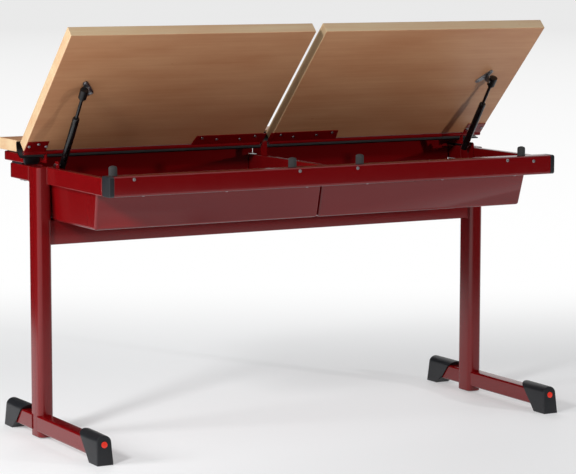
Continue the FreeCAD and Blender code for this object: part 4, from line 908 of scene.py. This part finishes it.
class DESK_OT_gas_springs(bpy.types.Operator):
    """Draw the gas springs: pressure tube with its crimp, rod, ball sockets, studs and lid brackets"""

    bl_idname = "desk.gas_springs"
    bl_label = "Gas springs"

    tube_start = 14 * MM
    tube_end = 141 * MM
    tube_radius = 8.3 * MM
    crimp_from_end = 14 * MM
    # millimetres along the tube from the crimp, and how deep the crimp is there
    crimp_groove = ((-2, 0), (-1, 0.5), (0, 0.7), (1, 0.5), (2, 0))
    guide_depth = 4 * MM
    rod_clear = 0.1 * MM
    rod_radius = 4 * MM
    rod_hidden = 30 * MM
    collar_length = 6 * MM
    collar_rise = 2 * MM
    plate_round = 6 * MM
    plate_thick = 2 * MM
    ear_thick = 2 * MM
    ear_spread = 3.75 * MM
    ear_round = 5.25 * MM
    ear_drop = 8 * MM
    ear_gap = 11 * MM
    ball_behind = 27.3 * MM
    neck_radius = 3 * MM
    neck_share = 0.55
    ball_radius = 4 * MM
    socket_round = 1 * MM

    def tube_profile(self):
        """Closed bottom with a rounded shoulder, a crimp groove over the piston guide, and a rolled end."""
        start, end, radius = self.tube_start, self.tube_end, self.tube_radius
        crimp = end - self.crimp_from_end
        bore = self.rod_radius + self.rod_clear
        groove = [(radius - depth * MM, crimp + place * MM) for place, depth in self.crimp_groove]
        return [(0, start), (radius * 0.55, start), (radius * 0.86, start + 0.8 * MM),
                (radius, start + 2.6 * MM), *groove, (radius, end - 2.2 * MM), (radius * 0.9, end - 0.7 * MM),
                (radius * 0.7, end), (bore, end), (bore, end - self.guide_depth), (0, end - self.guide_depth)]

    def rod_profile(self, reach):
        """Plain rod from inside the tube, with a chamfered collar at the socket."""
        hidden = self.tube_end - self.rod_hidden
        radius = self.rod_radius
        collar = radius + self.collar_rise
        foot = reach - self.collar_length
        return [(0, hidden), (radius, hidden), (radius, foot), (collar, foot + 0.6 * MM),
                (collar, reach - 1 * MM), (collar - 1 * MM, reach), (0, reach)]

    def slab(self, outline, number, low, high):
        """Flat outline in the two other axes carried from one level of an axis to the next."""
        rings = np.empty((2, len(outline), 3))
        first, second = others(number)
        rings[..., first] = outline[:, 0]
        rings[..., second] = outline[:, 1]
        rings[0, :, number] = low
        rings[1, :, number] = high
        return carried(rings)

    def around(self, spots, radius, steps=48):
        """Outline at one radius from a row of spots: for each direction, from the spot furthest that way."""
        angle = np.linspace(0, 2 * math.pi, steps, endpoint=False)
        ways = np.stack([np.cos(angle), np.sin(angle)], axis=1)
        return spots[np.argmax(ways @ spots.T, axis=1)] + ways * radius

    def bracket(self, side, sign):
        """Slim plate round its three screws, an ear with a rounded end, and the ball on its neck."""
        ball_x = joint(f"{side}_strut_pivot")["pos_m"][0]
        seats = islands(f"bracket_screws_{side}", side)
        spots = np.array([((low + high) / 2)[:2] for low, high in seats])
        under = islands(f"lid_{side}", side)[0][0][2]
        node_low, node_high = islands(f"lid_bracket_{side}", side)[0]
        ball = np.array([ball_x, node_high[1] - self.ball_behind, node_low[2] + self.ear_drop])
        root = np.array([[ball_x - sign * self.ear_gap, ball[1]]])
        plate = self.slab(self.around(np.concatenate([spots, root]), self.plate_round), 2,
                          under - self.plate_thick, under)
        shoulder = under - self.plate_thick - self.ear_spread
        corners = np.array([[ball[1], ball[2]], [ball[1] - self.ear_spread, shoulder],
                            [ball[1] + self.ear_spread, shoulder]])
        face = ball_x - sign * self.ear_gap
        back = face - sign * self.ear_thick
        ear = self.slab(self.around(corners, self.ear_round), 0, min(face, back), max(face, back))
        profile = [(0, 0), (self.neck_radius, 0), (self.neck_radius, self.ear_gap * self.neck_share)]
        for angle in np.linspace(0.72, math.pi - 0.05, 10):
            profile.append((self.ball_radius * math.sin(angle),
                            self.ear_gap - self.ball_radius * math.cos(angle)))
        profile.append((0, self.ear_gap + self.ball_radius))
        stud = placed(turned(profile, 20), (face, ball[1], ball[2]), (sign, 0, 0))
        vertices, faces = joined([plate, ear, stud])
        fitted(f"lid_bracket_{side}_zinc", (lid_turned(vertices, side, -1), faces), "zinc_screw",
               f"lid_bracket_{side}", sharp=40)

    def execute(self, context):
        for side, sign in SIDES.items():
            foot = np.array(joint(f"{side}_strut_pivot")["pos_m"])
            direction = np.array(joint(f"{side}_rod_slide")["axis"])
            direction /= np.linalg.norm(direction)
            low, high = box(f"strut_rod_{side}")
            reach = (high[2] - foot[2]) / direction[2] + self.rod_radius * direction[1] / direction[2]
            tube = placed(turned(self.tube_profile()), foot, direction)
            fitted(f"strut_cylinder_{side}_lacquered", tube, "black_steel", f"strut_cylinder_{side}")
            rod = placed(turned(self.rod_profile(reach), 24), foot, direction)
            fitted(f"strut_rod_{side}_lacquered", rod, "black_steel", f"strut_rod_{side}")
            for socket in ("lower", "upper"):
                eased_copy(f"strut_{socket}_socket_{side}", "black_plastic", self.socket_round, sharp=40,
                           material="black_nylon")
            self.bracket(side, sign)
        eased_copy("strut_foot_studs", "zinc_screw", 0)
        return {"FINISHED"}


class DESK_OT_buffers(bpy.types.Operator):
    """Draw the rubber buffers that the lids close on"""

    bl_idname = "desk.buffers"
    bl_label = "Lid buffers"

    body_share = 0.97
    crown_share = 0.45
    top_share = 0.3
    shortfall = 2.2 * MM

    def execute(self, context):
        shells = []
        top = box("front_beam")[1][2]
        turn = np.linspace(0, math.pi / 2, 6)
        for low, high in islands("lid_buffers"):
            centre = (low + high) / 2
            radius = (high[0] - low[0]) / 2
            height = high[2] - top - self.shortfall
            body = radius * self.body_share
            crown = radius * self.crown_share
            profile = [(0, 0), (radius - 0.5 * MM, 0), (radius, 0.6 * MM), (radius, 2 * MM), (body, 2.6 * MM)]
            profile += [(body - crown * (1 - math.cos(angle)),
                         height - 1.2 * MM - crown * (1 - math.sin(angle))) for angle in turn]
            profile += [(radius * self.top_share, height - 0.3 * MM), (0, height)]
            shells.append(placed(turned(profile), (centre[0], centre[1], top), (0, 0, 1)))
        fitted("lid_buffers_moulded", joined(shells), "buffer_rubber", "lid_buffers")
        return {"FINISHED"}


class DESK_OT_screws(bpy.types.Operator):
    """Draw the heads of the pan-head screws with their cross recess, and the hexagon bolts"""

    bl_idname = "desk.screws"
    bl_label = "Screws and bolts"

    head_radius = 4 * MM
    head_rise = 2.4 * MM
    recess_reach = 2.3 * MM
    recess_width = 0.55 * MM
    recess_depth = 1.3 * MM
    bolt_rise = 5 * MM
    bolt_chamfer = 1 * MM
    face_share = 0.86
    shank_length = 6 * MM
    shank_share = 0.55

    def head(self):
        """Dome of a pan head, its rings pressed down inside the arms of a cross."""
        angle = np.linspace(0, 2 * math.pi, 48, endpoint=False)
        share = np.array([1.0, 1.0, 0.97, 0.88, 0.75, 0.62, 0.57, 0.5, 0.4, 0.3, 0.2, 0.12, 0.0])
        level = np.array([-1.5, 0.0, 0.28, 0.62, 0.85, 0.95, 0.965, 0.98, 0.99, 1.0, 1.0, 1.0, 1.0])
        radius = share[:, None] * self.head_radius
        across, up = radius * np.cos(angle), radius * np.sin(angle)
        narrow = np.minimum(np.abs(across), np.abs(up))
        far = np.maximum(np.abs(across), np.abs(up))
        inside = (narrow < self.recess_width) & (far < self.recess_reach)
        fade = np.clip(1 - far / self.recess_reach, 0, 1) ** 0.4
        height = level[:, None] * self.head_rise - np.where(inside, self.recess_depth * fade, 0)
        return carried(np.stack([across, up, height], axis=-1))

    def hexagon(self, radius):
        """Six-sided bolt head with a chamfered outer end and a shank above it."""
        shank = radius * self.shank_share
        profile = [(0, -self.shank_length), (shank, -self.shank_length), (shank, 0), (radius, 0),
                   (radius, self.bolt_rise - self.bolt_chamfer), (radius * self.face_share, self.bolt_rise),
                   (0, self.bolt_rise)]
        return turned(profile, 6)

    def seated(self, name, shape, rise, number=2, side=None):
        """Put a head on each solid of a node: facing down an axis, this rise above the solid's low end."""
        shells = []
        for low, high in islands(name, side):
            centre = (low + high) / 2
            centre[number] = low[number] + rise
            vertices, faces = placed(shape, centre, -np.eye(3)[number])
            shells.append((lid_turned(vertices, side, -1) if side else vertices, faces))
        fitted(f"{name}_zinc", joined(shells), "zinc_screw", name)

    def execute(self, context):
        head = self.head()
        self.seated("beam_screws", head, self.head_rise, number=1)
        for name in ("tray_screws", "panel_screws"):
            self.seated(name, head, self.head_rise)
        for side in SIDES:
            for name in (f"hinge_screws_{side}", f"bracket_screws_{side}"):
                self.seated(name, head, self.head_rise, side=side)
        low, high = islands("rail_bolts")[0]
        self.seated("rail_bolts", self.hexagon((high[0] - low[0]) / 2), self.bolt_rise)
        return {"FINISHED"}


class DESK_OT_finish_nodes(bpy.types.Operator):
    """Give every construction piece that still shows the material of its finish slot"""

    bl_idname = "desk.finish_nodes"
    bl_label = "Finish of plain pieces"

    slots = {
        "hinge_shaft": "zinc_screw",
        "column_plugs": "black_plastic",
        "rail_pads": "black_plastic",
        "panel_strips": "black_plastic",
    }

    def execute(self, context):
        for name, item in frame["nodes"].items():
            slot = self.slots.get(name, "red_powder_coat")
            item.data.materials.clear()
            item.data.materials.append(finish(FINISH_OF_SLOT[slot]))
        return {"FINISHED"}


# Camera, floor and lights

CAMERA_PLACE = (-2.7795, -4.9270, 1.1502)
CAMERA_YAW = -29.47
CAMERA_PITCH = 6.99
CAMERA_ROLL = 0.10
FOCAL_PIXELS = 2310.5
PICTURE_WIDTH = 576
SENSOR_WIDTH = 36.0


def lamp(name, place, target, width, height, power):
    """Soft rectangular white lamp that faces a target."""
    light = bpy.data.lights.new(name, "AREA")
    light.shape = "RECTANGLE"
    light.size = width
    light.size_y = height
    light.energy = power
    item = in_scene(name, light)
    item.location = place
    item.rotation_euler = (Vector(target) - Vector(place)).to_track_quat("-Z", "Y").to_euler()
    item.visible_glossy = False


class DESK_OT_stage(bpy.types.Operator):
    """Set up the camera, the pale floor, the black cards and the studio lights"""

    bl_idname = "desk.stage"
    bl_label = "Stage"

    # radii of the floor's rings, and where its white begins and ends to fall off towards the horizon
    floor_rings = (0.0, 1.5, 4.0, 12.0, 60.0)
    floor_corners = 64
    dimming_start = 4.0
    dimming_end = 30.0
    horizon_white = 0.82
    fade_start = 2.4
    fade_end = 4.0
    sweep_direction = (0.49, 0.87, 0.0)
    sweep_start = 0.6
    sweep_end = 2.4
    paper_glow = 0.26
    fill_strength = 0.22
    backdrop_strength = 0.85
    card_width = 5.0
    card_height = 3.0
    # place, target, width and height in metres, and power in watts
    lamps = {
        "key_left": ((-3.2, -1.7, 2.2), (0, 0, 0.4), 0.5, 0.5, 86),
        "side_left": ((-3.4, 0.3, 1.2), (0, 0, 0.4), 1.0, 1.0, 68),
        "soft_rear": ((1.2, 3.4, 2.8), (0, 0, 0.5), 2.4, 1.6, 45),
        "low_right": ((2.0, -2.9, 0.95), (0.3, -0.1, 0.9), 0.1, 0.1, 38),
    }

    def camera(self, scene):
        data = bpy.data.cameras.new("camera")
        data.sensor_width = SENSOR_WIDTH
        data.lens = FOCAL_PIXELS / PICTURE_WIDTH * SENSOR_WIDTH
        data.clip_end = 200
        turn = (Matrix.Rotation(math.radians(CAMERA_YAW), 4, "Z")
                @ Matrix.Rotation(math.radians(90 - CAMERA_PITCH), 4, "X")
                @ Matrix.Rotation(math.radians(CAMERA_ROLL), 4, "Z"))
        scene.camera = in_scene("camera", data)
        scene.camera.matrix_world = Matrix.Translation(CAMERA_PLACE) @ turn

    def seen_rays(self, tree):
        """One for rays from the camera, a mirror or glass, and zero for rays that light the object."""
        path = node(tree, "LightPath").outputs
        seen = path["Is Camera Ray"]
        for kind in ("Is Glossy Ray", "Is Transmission Ray"):
            seen = node(tree, "Math", {0: seen, 1: path[kind]}, operation="MAXIMUM").outputs[0]
        return seen

    def floor(self, colours):
        """Wide disc that turns from a lit floor round the desk to plain white further off."""
        vertices, faces = turned([(radius, 0) for radius in self.floor_rings], self.floor_corners)
        mesh = bpy.data.meshes.new("floor")
        mesh.from_pydata(vertices.tolist(), [], faces[:-2])
        material, tree = empty_material("painted_studio_floor")
        point = node(tree, "TexCoord").outputs["Object"]
        distance = node(tree, "VectorMath", {0: point}, operation="LENGTH").outputs["Value"]
        depth = node(tree, "VectorMath", {0: point, 1: self.sweep_direction},
                     operation="DOT_PRODUCT").outputs["Value"]
        paper = node(tree, "BsdfPrincipled",
                     {"Base Color": tuple(colours.floor), "Roughness": 0.55, "Specular IOR Level": 0.3})
        ramp = node(tree, "MapRange", {0: distance, 1: self.dimming_start, 2: self.dimming_end, 3: 1.0,
                                         4: self.horizon_white})
        white = node(tree, "Emission", {"Strength": ramp.outputs[0], "Color": (1, 1, 1, 1)})
        fade = node(tree, "MapRange", {0: distance, 1: self.fade_start, 2: self.fade_end},
                    interpolation_type="SMOOTHSTEP")
        sweep = node(tree, "MapRange", {0: depth, 1: self.sweep_start, 2: self.sweep_end},
                     interpolation_type="SMOOTHSTEP")
        further = node(tree, "Math", {0: fade.outputs[0], 1: sweep.outputs[0]}, operation="MAXIMUM")
        either = node(tree, "MapRange", {0: further.outputs[0], 3: self.paper_glow, 4: 1.0})
        share = node(tree, "Math", {0: either.outputs[0], 1: self.seen_rays(tree)}, operation="MULTIPLY")
        mix = node(tree, "MixShader", {0: share.outputs[0], 1: paper.outputs[0], 2: white.outputs[0]})
        node(tree, "OutputMaterial", {"Surface": mix.outputs[0]})
        mesh.materials.append(material)
        in_scene("floor", mesh)

    def black_card(self, name, direction, distance):
        """Upright black card that only reflections see, as a studio puts beside glossy things."""
        away = np.array([direction[0], direction[1], 0.0])
        away /= np.linalg.norm(away)
        sideways = np.array([-away[1], away[0], 0.0])
        centre = away * distance
        half = sideways * self.card_width / 2
        rise = (0, 0, self.card_height)
        corners = [centre - half, centre + half, centre + half + rise, centre - half + rise]
        mesh = bpy.data.meshes.new(name)
        mesh.from_pydata([tuple(corner) for corner in corners], [], [(0, 1, 2, 3)])
        material, tree = empty_material("black_card")
        card = node(tree, "BsdfDiffuse", {"Color": linear("#0B0B0C")})
        node(tree, "OutputMaterial", {"Surface": card.outputs[0]})
        mesh.materials.append(material)
        item = in_scene(name, mesh)
        item.visible_camera = False
        item.visible_diffuse = False
        item.visible_shadow = False

    def world(self, scene):
        world = bpy.data.worlds.new("studio")
        scene.world = world
        world.use_nodes = True
        tree = world.node_tree
        tree.nodes.clear()
        fill = node(tree, "Background", {"Color": linear("#F4F6FA"), "Strength": self.fill_strength})
        white = node(tree, "Background", {"Color": (1, 1, 1, 1), "Strength": self.backdrop_strength})
        mix = node(tree, "MixShader", {0: self.seen_rays(tree), 1: fill.outputs[0], 2: white.outputs[0]})
        node(tree, "OutputWorld", {"Surface": mix.outputs[0]})

    def execute(self, context):
        scene = context.scene
        scene.view_settings.view_transform = "Standard"
        self.camera(scene)
        self.floor(scene.desk_colours)
        self.world(scene)
        self.black_card("card_front", (0.49, -0.87), 2.4)
        self.black_card("card_rear", (-0.49, 0.87), 2.3)
        for name, settings in self.lamps.items():
            lamp(name, *settings)
        return {"FINISHED"}


class DESK_PT_panel(bpy.types.Panel):
    """Sidebar panel with the sizes, the colours and a button for each piece"""

    bl_idname = "DESK_PT_panel"
    bl_label = "Double school desk"
    bl_space_type = "VIEW_3D"
    bl_region_type = "UI"
    bl_category = "School desk"

    def draw(self, context):
        layout = self.layout
        for group in (context.scene.desk_sizes, context.scene.desk_colours):
            column = layout.column(align=True)
            for name in group.__annotations__:
                column.prop(group, name)
        for operator in OPERATORS:
            layout.operator(operator.bl_idname)


OPERATORS = (
    DESK_OT_finish_nodes, DESK_OT_tubes, DESK_OT_welds, DESK_OT_columns, DESK_OT_sheet_parts,
    DESK_OT_tube_caps, DESK_OT_shoes, DESK_OT_foot_plugs, DESK_OT_boards, DESK_OT_trough,
    DESK_OT_gas_springs, DESK_OT_buffers, DESK_OT_screws, DESK_OT_stage)
CLASSES = (DeskSizes, DeskColours, *OPERATORS, DESK_PT_panel)


def register():
    for item in CLASSES:
        bpy.utils.register_class(item)
    bpy.types.Scene.desk_sizes = PointerProperty(type=DeskSizes)
    bpy.types.Scene.desk_colours = PointerProperty(type=DeskColours)


def unregister():
    del bpy.types.Scene.desk_colours
    del bpy.types.Scene.desk_sizes
    for item in reversed(CLASSES):
        bpy.utils.unregister_class(item)


def main():
    register()
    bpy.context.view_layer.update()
    for operator in OPERATORS:
        group, name = operator.bl_idname.split(".")
        getattr(getattr(bpy.ops, group), name)()


if __name__ == "__main__":
    main()
